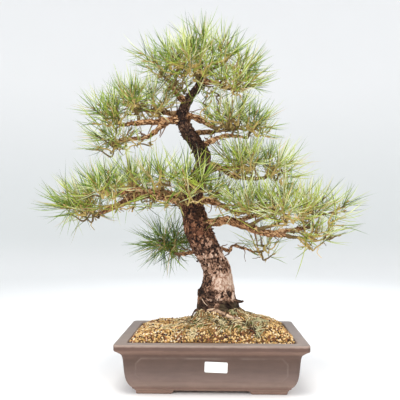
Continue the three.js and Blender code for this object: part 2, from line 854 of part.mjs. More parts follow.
function potSolid() {
  const ringAt = ([inset, height]) =>
    roundedRing(
      POT.halfWidth - inset,
      POT.halfDepth - inset,
      Math.max(POT.cornerRadius - POT.cornerTightening * inset, POT.cornerSmallest),
      height,
    );
  let solid = ringedSolid([...POT_OUTSIDE, ...POT_INSIDE].map(ringAt));
  for (const sx of [-1, 1]) for (const sy of [-1, 1]) solid = solid.add(footSolid(sx, sy));
  return solid;
}

const SOIL_WIDTH = POT.halfWidth - SOIL.wallInset;
const SOIL_DEPTH = POT.halfDepth - SOIL.wallInset;
const [TREE_X, TREE_Y] = LIMBS[0].path[0];

// The soil's outline at the wall, seen from above. Its corners are rounder than the pot's.
function wallPoint(angle) {
  const [c, s] = [Math.cos(angle), Math.sin(angle)];
  const reach = Math.min(SOIL_WIDTH / Math.abs(c), SOIL_DEPTH / Math.abs(s));
  const wall = new THREE.Vector2(c, s).multiplyScalar(reach);
  const heart = new THREE.Vector2(
    Math.sign(c) * (SOIL_WIDTH - SOIL.cornerRadius),
    Math.sign(s) * (SOIL_DEPTH - SOIL.cornerRadius),
  );
  if (Math.abs(wall.x) > Math.abs(heart.x) && Math.abs(wall.y) > Math.abs(heart.y)) {
    wall.sub(heart).setLength(SOIL.cornerRadius).add(heart);
  }
  return wall;
}

// The soil's height: a round shoulder, fuller on the right, and a steep step up to the trunk's plateau.
function soilHeight(share, angle) {
  const low = POT.height - SOIL.edgeDrop;
  const rise = GROUND - SOIL.plateauGap - low;
  const shoulder = SOIL.shoulder + SOIL.shoulderLean * Math.cos(angle);
  const round = shoulder * (1 - (1 - share) ** 2);
  return low + rise * (round + (1 - shoulder) * share ** SOIL.stepPower);
}

// A point on the soil's top: at the wall for share 0 and at the trunk's plateau for share 1.
function soilPoint(share, angle) {
  const plateau = new THREE.Vector2(TREE_X, TREE_Y).addScaledVector(
    new THREE.Vector2(Math.cos(angle), Math.sin(angle)),
    SOIL.plateauRadius,
  );
  const flat = wallPoint(angle).lerp(plateau, share);
  return new THREE.Vector3(flat.x, flat.y, soilHeight(share, angle));
}

// Angles round the soil in even steps, with the four corners of the wall among them.
function soilAngles() {
  const corner = Math.atan2(SOIL_DEPTH, SOIL_WIDTH);
  const stops = [-corner, corner, Math.PI - corner, Math.PI + corner, 2 * Math.PI - corner];
  const each = SOIL.sides / 4;
  return Array.from({ length: SOIL.sides }, (_, i) => {
    const quarter = Math.floor(i / each);
    return THREE.MathUtils.lerp(stops[quarter], stops[quarter + 1], (i % each) / each);
  });
}

function soilSolid() {
  const angles = soilAngles();
  const topRings = SOIL.ringShares.map((share) => angles.map((angle) => soilPoint(share, angle).toArray()));
  const ringAt = ([inset, height]) => {
    const wide = (POT.halfWidth - inset - SOIL.gap) / SOIL_WIDTH;
    const deep = (POT.halfDepth - inset - SOIL.gap) / SOIL_DEPTH;
    return angles.map((angle) => [wallPoint(angle).x * wide, wallPoint(angle).y * deep, height]);
  };
  const [wall, floor] = POT_INSIDE.slice(-2);
  return ringedSolid([ringAt([floor[0], floor[1] + SOIL.gap]), ringAt(wall), ...topRings]);
}

// Height of the mound at a plan point.
function moundHeight(x, y) {
  const angle = Math.atan2(y - TREE_Y, x - TREE_X);
  const [low, high] = [soilPoint(0, angle), soilPoint(1, angle)];
  const span = Math.hypot(low.x - high.x, low.y - high.y);
  const away = Math.hypot(x - TREE_X, y - TREE_Y) - SOIL.plateauRadius;
  return soilHeight(THREE.MathUtils.clamp(1 - away / span, 0, 1), angle);
}

function rootSolid(root, trunk, soil) {
  const rows = root.path.map(([x, y, radius]) => [x, y, moundHeight(x, y) + ROOT.rise * radius, radius]);
  const line = new TaperedLine(rows);
  const limb = { line, sides: BOUGH.sides, rings: ROOT.ringsPerSpan * (rows.length - 1) };
  const raised = soil.translate([0, 0, BOUGH.clearance]);
  return largestPiece(limbSolid(limb).subtract(raised).subtract(limbSolid(trunk, BOUGH.clearance)));
}

const FINISHES = {
  pot: new THREE.MeshStandardMaterial({ color: 0x84706a, roughness: 0.72, metalness: 0 }),
  soil: new THREE.MeshStandardMaterial({ color: 0xb08a52, roughness: 0.95, metalness: 0 }),
  bark: new THREE.MeshStandardMaterial({ color: 0x6b5143, roughness: 0.92, metalness: 0 }),
  bough: new THREE.MeshStandardMaterial({ color: 0x86654b, roughness: 0.88, metalness: 0 }),
  needles: new THREE.MeshStandardMaterial({ color: 0x7d9a3c, roughness: 0.6, metalness: 0 }),
};

function namedMesh(name, solid, finish) {
  const mesh = new THREE.Mesh(geometryFrom(solid), FINISHES[finish].clone());
  mesh.name = name;
  return mesh;
}

function buildBonsai() {
  const group = new THREE.Group();
  const limbs = prepareLimbs();
  const trunk = limbs.get("trunk");
  const soil = soilSolid();
  group.add(namedMesh("pot", potSolid(), "pot"), namedMesh("soil", soil, "soil"));
  for (const root of ROOTS) group.add(namedMesh(root.name, rootSolid(root, trunk, soil), "bark"));
  for (const limb of limbs.values()) {
    let solid = limbSolid(limb);
    if (limb.parent) {
      solid = largestPiece(solid.subtract(limbSolid(limbs.get(limb.parent), BOUGH.clearance)));
    }
    group.add(namedMesh(limb.name, solid, limb.parent ? "bough" : "bark"));
  }
  const masses = prepareMasses();
  for (const mass of masses) {
    mass.stem = stemLine(mass, limbs.get(mass.limb));
    mass.capsules = mass.stem.capsules(2 * WOOD.stemRings);
    mass.twigs = [];
  }
  for (const mass of masses) growWood(mass, masses, limbs);
  for (const mass of masses) group.add(namedMesh(mass.name, massSolid(mass, masses, limbs), "needles"));
  const box = new THREE.Box3().setFromObject(group);
  group.position.set(-(box.min.x + box.max.x) / 2, -(box.min.y + box.max.y) / 2, -box.min.z);
  return group;
}

export default buildBonsai();
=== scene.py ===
"""A Japanese black pine bonsai in a rectangular unglazed pot, dressed for a plain studio picture.

Sizes are in millimetres from the middle of the pot's foot, with the front of the tree towards -Y, and
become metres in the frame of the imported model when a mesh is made.
"""

import logging
import math
from dataclasses import dataclass, field
from enum import Enum

import bpy
import numpy as np
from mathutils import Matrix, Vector, noise


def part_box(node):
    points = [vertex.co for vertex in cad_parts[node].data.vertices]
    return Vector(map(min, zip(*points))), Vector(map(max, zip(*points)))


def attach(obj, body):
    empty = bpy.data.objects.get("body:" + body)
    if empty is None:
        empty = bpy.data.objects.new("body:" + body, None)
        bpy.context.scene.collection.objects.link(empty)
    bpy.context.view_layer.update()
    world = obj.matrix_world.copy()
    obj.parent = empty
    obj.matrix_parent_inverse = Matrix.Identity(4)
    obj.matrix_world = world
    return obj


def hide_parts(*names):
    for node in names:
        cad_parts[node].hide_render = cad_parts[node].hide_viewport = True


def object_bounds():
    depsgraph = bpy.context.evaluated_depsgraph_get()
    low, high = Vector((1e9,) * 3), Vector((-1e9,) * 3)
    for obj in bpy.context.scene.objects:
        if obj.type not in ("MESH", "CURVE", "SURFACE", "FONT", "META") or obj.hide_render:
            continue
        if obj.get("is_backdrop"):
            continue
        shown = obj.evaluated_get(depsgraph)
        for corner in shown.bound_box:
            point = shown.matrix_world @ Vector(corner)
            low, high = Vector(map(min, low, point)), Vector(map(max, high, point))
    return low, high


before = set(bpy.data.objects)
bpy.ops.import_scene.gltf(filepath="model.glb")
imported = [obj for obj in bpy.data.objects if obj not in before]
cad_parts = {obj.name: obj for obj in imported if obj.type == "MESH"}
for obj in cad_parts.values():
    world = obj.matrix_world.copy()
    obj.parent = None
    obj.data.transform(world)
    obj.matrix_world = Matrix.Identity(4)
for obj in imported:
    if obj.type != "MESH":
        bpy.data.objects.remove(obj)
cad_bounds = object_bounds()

Array = np.ndarray
Material = bpy.types.Material
Spot = tuple[float, float, float]
Span = tuple[float, float]

log = logging.getLogger("bonsai")

MM = 0.001
BODY = "root"
POT_LOW, POT_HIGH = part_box("pot")
ORIGIN = np.array([(POT_LOW.x + POT_HIGH.x) / 2, (POT_LOW.y + POT_HIGH.y) / 2, POT_LOW.z])
UP = np.array([0.0, 0.0, 1.0])
NOTHING = 1e-9
GOLDEN_ANGLE = math.pi * (3 - math.sqrt(5))


class Slot(Enum):
    """The material slots of the record."""

    CLAY = "pot_clay"
    SOIL = "soil_grains"
    BARK = "bark"
    BOUGH = "bough_bark"
    NEEDLES = "needles"


def unit(rows: Array) -> Array:
    """Rows scaled to length 1."""
    return rows / np.maximum(np.linalg.norm(rows, axis=-1, keepdims=True), NOTHING)


def mix(a: Array | float, b: Array | float, share: Array | float) -> Array | float:
    """The value that lies a share of the way from a to b."""
    return a + (b - a) * share


def smooth_step(low: float, high: float, value: Array | float) -> Array | float:
    """0 below low and 1 above high, with a soft rise between them."""
    share = np.clip((value - low) / (high - low), 0.0, 1.0)
    return share * share * (3 - 2 * share)


def colour(code: str) -> tuple[float, float, float, float]:
    """A colour as a screen shows it, written rrggbb, as the linear numbers that a shader takes."""
    parts = [int(code[i : i + 2], 16) / 255 for i in (0, 2, 4)]
    linear = [p / 12.92 if p <= 0.04045 else ((p + 0.055) / 1.055) ** 2.4 for p in parts]
    return (*linear, 1.0)


class Shade:
    """A value or colour on its way through a material, with Python's operators as Math nodes."""

    def __init__(self, paint: "Paint", socket: bpy.types.NodeSocket) -> None:
        """Holds the socket and the material that it belongs to."""
        self.paint = paint
        self.socket = socket

    def maths(self, operation: str, other: "Shade | float", swapped: bool = False) -> "Shade":
        """One Math node.

        Args:
            operation: the Math node's operation.
            other: its other value.
            swapped: whether this value comes second.

        Returns:
            The node's result.
        """
        values = [other, self] if swapped else [self, other]
        return self.paint.node("ShaderNodeMath", {"operation": operation}, dict(enumerate(values)))

    def __add__(self, other: "Shade | float") -> "Shade":
        """The sum."""
        return self.maths("ADD", other)

    __radd__ = __add__

    def __sub__(self, other: "Shade | float") -> "Shade":
        """The difference."""
        return self.maths("SUBTRACT", other)

    def __rsub__(self, other: float) -> "Shade":
        """A number less this value."""
        return self.maths("SUBTRACT", other, swapped=True)

    def __mul__(self, other: "Shade | float") -> "Shade":
        """The product."""
        return self.maths("MULTIPLY", other)

    __rmul__ = __mul__

    def ramp(self, low: float, high: float) -> "Shade":
        """0 at low and 1 at high, in a straight line, and no further."""
        return self.paint.node("ShaderNodeMapRange", {}, {"Value": self, "From Min": low, "From Max": high})


class Paint:
    """The nodes of one material."""

    def __init__(self, name: str) -> None:
        """Makes an empty material of that name."""
        self.material = bpy.data.materials.new(name)
        self.material.use_nodes = True
        self.tree = self.material.node_tree
        self.tree.nodes.clear()

    def node(
        self,
        kind: str,
        settings: dict[str, object] | None = None,
        inputs: dict[str | int, object] | None = None,
        output: str | int = 0,
    ) -> Shade:
        """Adds a node.

        Args:
            kind: the node's type.
            settings: its own settings by name, with "stops" for a ramp's places and colours.
            inputs: a value or a Shade for each named or numbered socket.
            output: the socket whose value is wanted.

        Returns:
            That output.
        """
        made = self.tree.nodes.new(kind)
        for name, value in (settings or {}).items():
            if name == "stops":
                self._set_stops(made.color_ramp, value)
            else:
                setattr(made, name, value)
        for key, value in (inputs or {}).items():
            if isinstance(value, Shade):
                self.tree.links.new(value.socket, made.inputs[key])
            else:
                made.inputs[key].default_value = value
        return Shade(self, made.outputs[output]) if len(made.outputs) else Shade(self, None)

    @staticmethod
    def _set_stops(ramp: bpy.types.ColorRamp, stops: list[tuple[float, str]]) -> None:
        """Gives a ramp its colours, each with its place from 0 to 1."""
        while len(ramp.elements) < len(stops):
            ramp.elements.new(1.0)
        for element, (place, code) in zip(ramp.elements, stops):
            element.position = place
            element.color = colour(code)

    def ramp(self, value: Shade, *stops: tuple[float, str]) -> Shade:
        """The colour that the stops give to a value."""
        return self.node("ShaderNodeValToRGB", {"stops": list(stops)}, {"Fac": value})

    def blend(self, share: Shade | float, a: Shade | str, b: Shade | str) -> Shade:
        """Two colours mixed.

        Args:
            share: how much of the second colour, from 0 to 1.
            a: the first colour.
            b: the second colour.

        Returns:
            The mixed colour.
        """
        a, b = (colour(c) if isinstance(c, str) else c for c in (a, b))
        return self.node("ShaderNodeMix", {"data_type": "RGBA"}, {0: share, 6: a, 7: b}, 2)

    def scaled(self, base: Shade, factor: Shade) -> Shade:
        """A colour made lighter or darker by a factor."""
        return self.node("ShaderNodeVectorMath", {"operation": "SCALE"}, {0: base, "Scale": factor})

    def places(self, stretch: Spot = (1, 1, 1)) -> Shade:
        """Object coordinates, stretched along each axis."""
        spot = self.node("ShaderNodeTexCoord", {}, {}, "Object")
        return self.node("ShaderNodeMapping", {}, {"Vector": spot, "Scale": stretch})

    def value(self, name: str) -> Shade:
        """A value that the mesh carries at its points."""
        return self.node("ShaderNodeAttribute", {"attribute_name": name}, {}, "Fac")

    def noise(self, spot: Shade, scale: float, detail: float = 3.0) -> Shade:
        """Cloudy noise from about 0.2 to 0.8."""
        inputs = {"Vector": spot, "Scale": scale, "Detail": detail, "Roughness": 0.55}
        return self.node("ShaderNodeTexNoise", {}, inputs)

    def grain(self, spot: Shade, scale: float) -> Shade:
        """Distance from the nearest of many scattered points."""
        return self.node("ShaderNodeTexVoronoi", {}, {"Vector": spot, "Scale": scale}, "Distance")

    def bump(self, height: Shade, depth_mm: float, strength: float = 1.0) -> Shade:
        """A normal bent by a height from 0 to 1 that stands for a depth in millimetres."""
        inputs = {"Height": height, "Distance": depth_mm * MM, "Strength": strength}
        return self.node("ShaderNodeBump", {}, inputs)

    def finish(self, **sockets: object) -> Material:
        """Ends the material in a Principled shader.

        Args:
            sockets: a value, colour code or Shade for each socket, with _ in place of a blank.

        Returns:
            The material.
        """
        values = {}
        for name, value in sockets.items():
            values[name.replace("_", " ")] = colour(value) if isinstance(value, str) else value
        shader = self.node("ShaderNodeBsdfPrincipled", {}, values, "BSDF")
        self.node("ShaderNodeOutputMaterial", {}, {"Surface": shader})
        return self.material


@dataclass
class Skin:
    """A mesh of triangles.

    Attributes:
        points: a row for each point, in millimetres.
        faces: a row of three point numbers for each triangle.
        finish: a finish number for each triangle.
        values: named values at each point, for the materials to read.
    """

    points: Array
    faces: Array
    finish: Array
    values: dict[str, Array] = field(default_factory=dict)

    @staticmethod
    def joined(skins: list["Skin"]) -> "Skin":
        """Several skins as one.

        Args:
            skins: skins that carry the same named values.

        Returns:
            The one skin.
        """
        starts = np.cumsum([0] + [len(s.points) for s in skins[:-1]])
        return Skin(
            np.concatenate([s.points for s in skins]),
            np.concatenate([s.faces + start for s, start in zip(skins, starts)]),
            np.concatenate([s.finish for s in skins]),
            {name: np.concatenate([s.values[name] for s in skins]) for name in skins[0].values},
        )

    def painted(self, finish: int) -> "Skin":
        """This skin with one finish all over."""
        return self.dealt(np.array([finish]))

    def dealt(self, finishes: Array) -> "Skin":
        """This skin with a finish for each of the like parts that it is made of."""
        self.finish = np.repeat(finishes, len(self.faces) // len(finishes)).astype(np.int32)
        return self


def plain_finish(name: str, code: str, roughness: float, gloss: float) -> Material:
    """A material of one even colour."""
    return Paint(name).finish(Base_Color=code, Roughness=roughness, Specular_IOR_Level=gloss)


def add_piece(
    name: str,
    skin: Skin,
    finishes: list[Material],
    slot: Slot,
    nodes: list[str] | None = None,
    smooth: bool = True,
) -> None:
    """Makes a piece of the object, which rides on its body.

    Args:
        name: the piece's name.
        skin: its mesh, in millimetres.
        finishes: the materials that the skin's finish numbers stand for.
        slot: the record's slot; not used.
        nodes: the CAD nodes that it stands for.
        smooth: whether its faces are shaded as one round surface.
    """
    mesh = bpy.data.meshes.new(name)
    mesh.vertices.add(len(skin.points))
    mesh.vertices.foreach_set("co", (ORIGIN + MM * skin.points).astype(np.float32).ravel())
    mesh.loops.add(3 * len(skin.faces))
    mesh.loops.foreach_set("vertex_index", skin.faces.astype(np.int32).ravel())
    mesh.polygons.add(len(skin.faces))
    mesh.polygons.foreach_set("loop_start", np.arange(0, 3 * len(skin.faces), 3, dtype=np.int32))
    mesh.polygons.foreach_set("material_index", skin.finish.astype(np.int32))
    mesh.polygons.foreach_set("use_smooth", np.full(len(skin.faces), smooth))
    for key, values in skin.values.items():
        layer = mesh.attributes.new(key, "FLOAT", "POINT")
        layer.data.foreach_set("value", values.astype(np.float32))
    mesh.update(calc_edges=True)
    for finish in finishes:
        mesh.materials.append(finish)
    piece = bpy.data.objects.new(name, mesh)
    bpy.context.scene.collection.objects.link(piece)
    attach(piece, BODY)
    if nodes:
        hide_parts(*nodes)
    log.info("%s: %d triangles", name, len(skin.faces))


def grid_faces(rings: int, sides: int) -> Array:
    """Triangles between rings of points that close on themselves, the first ring's points first."""
    ring, k = np.meshgrid(np.arange(rings - 1), np.arange(sides), indexing="ij")
    a = (ring * sides + k).ravel()
    b = (ring * sides + (k + 1) % sides).ravel()
    return np.concatenate([np.stack([a, b, b + sides], 1), np.stack([a, b + sides, a + sides], 1)])


def cap_faces(first: int, sides: int, upwards: bool) -> Array:
    """A flat fan over one ring."""
    k = np.arange(1, sides - 1)
    fan = np.stack([np.zeros_like(k), k, k + 1] if upwards else [np.zeros_like(k), k + 1, k], 1)
    return fan + first


def stacked_skin(rings: Array, values: dict[str, Array] | None = None) -> Skin:
    """A closed skin over rings of points, given as rows of rings, with flat ends."""
    count, sides = rings.shape[:2]
    faces = np.concatenate(
        [
            grid_faces(count, sides),
            cap_faces(0, sides, False),
            cap_faces((count - 1) * sides, sides, True),
        ]
    )
    return Skin(rings.reshape(-1, 3), faces, np.zeros(len(faces), np.int32), values or {})


def swept_frames(paths: Array) -> tuple[Array, Array]:
    """Two directions across each point of many paths.

    Args:
        paths: the points of each path, path by path.

    Returns:
        The first direction across, and the second, for every point.
    """
    along = unit(np.gradient(paths, axis=1))
    helper = np.where(np.abs(along[:, :1, :1]) > 0.8, np.array([0.0, 1.0, 0.0]), np.array([1.0, 0.0, 0.0]))
    across = unit(helper - (helper * along).sum(-1, keepdims=True) * along)
    return across, np.cross(along, across)


def tubes(paths: Array, radii: Array, sides: int, pointed: bool = False, spin: Array | None = None) -> Skin:
    """Many closed tubes at once.

    Args:
        paths: the centre points of each tube, tube by tube.
        radii: a radius for each of them.
        sides: corners round a tube.
        pointed: whether a tube's last point is its tip.
        spin: how far each tube is turned round itself.

    Returns:
        The tubes as one skin.
    """
    count, steps = paths.shape[:2]
    rings = steps - 1 if pointed else steps
    across, side = swept_frames(paths)
    turn = np.zeros(count) if spin is None else spin
    angle = turn[:, None, None] + 2 * np.pi * np.arange(sides)[None, None, :] / sides
    radius = np.broadcast_to(radii, (count, steps))[:, :rings, None]
    points = (
        paths[:, :rings, None]
        + (radius * np.cos(angle))[..., None] * across[:, :rings, None]
        + (radius * np.sin(angle))[..., None] * side[:, :rings, None]
    ).reshape(count, rings * sides, 3)
    k = np.arange(sides)
    if pointed:
        points = np.concatenate([points, paths[:, -1:]], 1)
        last = (rings - 1) * sides
        end = np.stack([last + k, last + (k + 1) % sides, np.full(sides, rings * sides)], 1)
    else:
        end = cap_faces((rings - 1) * sides, sides, True)
    faces = np.concatenate([grid_faces(rings, sides), cap_faces(0, sides, False), end])
    each = points.shape[1]
    every = faces[None] + each * np.arange(count)[:, None, None]
    return Skin(points.reshape(-1, 3), every.reshape(-1, 3), np.zeros(count * len(faces), np.int32))


class TaperedLine:
    """A smooth line through points that each carry a radius."""

    def __init__(self, rows: Array | list) -> None:
        """Takes rows of x, y, z and radius."""
        rows = np.asarray(rows, float)
        self.points, self.radii = rows[:, :3], rows[:, 3]

    def at(self, shares: Array | float) -> Array:
        """Points at shares of the way along."""
        shares = np.asarray(shares, float)
        p = self.points
        row = np.vstack([2 * p[0] - p[1], p, 2 * p[-1] - p[-2]])
        place = np.clip(shares, 0, 1) * (len(p) - 1)
        before = np.minimum(place.astype(int), len(p) - 2)
        t = (place - before)[..., None]
        a, b, c, d = (row[before + k] for k in range(4))
        return (
            (2 * t**3 - 3 * t**2 + 1) * b
            + (t**3 - 2 * t**2 + t) * (c - a) / 2
            + (3 * t**2 - 2 * t**3) * c
            + (t**3 - t**2) * (d - b) / 2
        )

    def tangent(self, shares: Array | float) -> Array:
        """Directions at shares of the way along."""
        step = 1e-4
        shares = np.asarray(shares, float)
        return unit(self.at(np.minimum(shares + step, 1)) - self.at(np.maximum(shares - step, 0)))

    def radius(self, shares: Array | float) -> Array:
        """Radii at shares of the way along."""
        return np.interp(shares, np.linspace(0, 1, len(self.radii)), self.radii)

    def capsules(self, count: int) -> "Capsules":
        """The line as straight pieces."""
        stops = np.arange(count + 1) / count
        points, radii = self.at(stops), self.radius(stops)
        return Capsules(points[:-1], points[1:], np.maximum(radii[:-1], radii[1:]))


@dataclass
class Capsules:
    """Straight round pieces, from a to b with a radius each, that stand for wood in the way."""

    a: Array
    b: Array
    radius: Array

    @staticmethod
    def joined(rows: list["Capsules"]) -> "Capsules":
        """Several lists as one."""
        return Capsules(*(np.concatenate([getattr(r, n) for r in rows]) for n in ("a", "b", "radius")))

    def clearance(self, start: Array, end: Array) -> Array:
        """The least room between the pieces and each straight line.

        Args:
            start: a row for each line's start.
            end: a row for each line's end.

        Returns:
            A distance for each line, below zero where it runs into a piece.
        """
        a, b = start[:, None], end[:, None]
        u, v, w = b - a, self.b - self.a, a - self.a
        uu, uv, vv = (u * u).sum(-1), (u * v).sum(-1), (v * v).sum(-1)
        uw, vw = (u * w).sum(-1), (v * w).sum(-1)
        cross = uu * vv - uv * uv
        s = np.where(cross > NOTHING, (uv * vw - vv * uw) / np.maximum(cross, NOTHING), 0)
        s = np.clip(s, 0, 1)
        t = np.clip((uv * s + vw) / np.maximum(vv, NOTHING), 0, 1)
        s = np.clip((uv * t - uw) / np.maximum(uu, NOTHING), 0, 1)
        gap = w + s[..., None] * u - t[..., None] * v
        return (np.linalg.norm(gap, axis=-1) - self.radius).min(1)


GROUND = 163.0

# Limbs as in the solids: centre points with a radius each.
LIMB_ROWS: dict[str, list[tuple[float, float, float, float]]] = {
    "trunk": [
        (14, 10, GROUND, 50), (13, 10, 190, 44), (13, 12, 218, 38.5), (11, 13, 244, 34.5),
        (3, 15, 271, 32.5), (-11, 17, 301, 32.5), (-27, 19, 334, 32), (-40, 21, 373, 30.5),
        (-48, 22, 413, 28), (-43, 22, 446, 25), (-29, 22, 478, 21), (-21, 20, 512, 18),
        (-30, 18, 545, 18), (-62, 13, 592, 16), (-71, 10, 624, 14), (-60, 8, 655, 12.5),
        (-34, 4, 693, 9.5), (-24, 1, 716, 7.5), (-25, -2, 738, 5.5),
    ],
    "bough_lower_left": [
        (-48, 22, 408, 18), (-78, 16, 422, 15.5), (-100, 10, 430, 14), (-146, 0, 435, 12.5),
        (-184, -8, 425, 10), (-222, -15, 406, 7), (-262, -20, 388, 4.5),
    ],
    "bough_left_front": [
        (-150, -1, 434, 7), (-160, -30, 442, 6), (-182, -55, 440, 5), (-206, -72, 432, 3.6),
    ],
    "bough_left_back": [(-122, 5, 433, 8), (-130, 32, 443, 7), (-146, 54, 446, 5.5), (-166, 68, 444, 4.2)],
    "bough_mid_left": [
        (-70, 11, 614, 11), (-92, 9, 613, 9.5), (-124, 5, 609, 8), (-171, 0, 606, 6.5),
        (-202, -5, 600, 4.8),
    ],
    "bough_mid_left_low": [
        (-106, 7, 611, 7), (-128, 8, 592, 6), (-152, 8, 573, 5.2), (-186, 10, 568, 4.4),
        (-220, 12, 565, 3.5),
    ],
    "bough_mid_left_back": [
        (-70, 10, 624, 8), (-88, 34, 634, 6.5), (-126, 58, 642, 5.4), (-166, 76, 652, 4),
    ],
    "bough_crown_left": [(-58, 8, 656, 8), (-76, 5, 667, 6.5), (-90, 1, 684, 5.2), (-98, -3, 699, 4.2)],
    "bough_crown_right": [
        (-30, 4, 698, 8), (-5, 1, 702, 6.2), (20, 0, 696, 5.4), (44, -3, 688, 4.5),
        (64, -4, 686, 3.5),
    ],
    "bough_upper_right": [(-69, 10, 622, 9), (-48, 8, 621, 7.5), (-25, 5, 612, 7), (2, 0, 594, 5.5)],
    "bough_upper_low": [
        (-31, 18, 546, 8), (-10, 13, 557, 6.2), (15, 8, 569, 5.2), (44, 3, 574, 4.6),
        (78, 0, 568, 3.6),
    ],
    "bough_upper_back": [(-50, 15, 577, 8), (-28, 42, 588, 6.5), (8, 64, 594, 5.2), (40, 78, 600, 4)],
    "bough_mid_right": [
        (-21, 20, 509, 10), (0, 20, 504, 8.5), (25, 17, 497, 7.4), (48, 11, 479, 6),
        (84, 5, 471, 4.8), (110, 0, 470, 3.8),
    ],
    "bough_mid_right_back": [(-27, 22, 484, 8), (-2, 50, 496, 6.6), (28, 72, 504, 5.4), (54, 88, 508, 4)],
    "bough_lower_right": [
        (-42, 21, 380, 14), (-14, 15, 368, 12), (8, 10, 368, 10.5), (38, 5, 372, 10),
        (70, 0, 361, 9.5), (118, -5, 345, 8.5), (172, -8, 337, 6),
    ],
    "bough_right_tip": [(150, -7, 340, 6), (180, -6, 349, 5.2), (202, -2, 351, 4.8), (222, 2, 354, 4)],
    "bough_right_back": [(52, 3, 368, 7), (74, 34, 374, 6), (104, 58, 384, 5), (128, 76, 392, 3.8)],
    "bough_inner_right": [
        (-42, 22, 428, 9), (-16, 18, 421, 7), (16, 12, 411, 5.6), (42, 2, 397, 4.6),
        (60, -8, 389, 3.6),
    ],
    "bough_back": [(-46, 22, 400, 13), (-44, 62, 404, 10), (-36, 100, 414, 7.5), (-32, 134, 418, 5)],
    "bough_low_left": [(-18, 18, 312, 7), (-48, 34, 295, 5.5), (-70, 50, 290, 4.8), (-86, 64, 290, 4.2)],
    "bough_low_right": [
        (-5, 17, 300, 6), (26, 27, 303, 4.2), (45, 34, 299, 3.8), (50, 40, 310, 3.4),
        (72, 45, 306, 2.8), (102, 50, 295, 2.4),
    ],
}

MassRow = tuple[str, str, float, Spot, Spot, Spot, int]

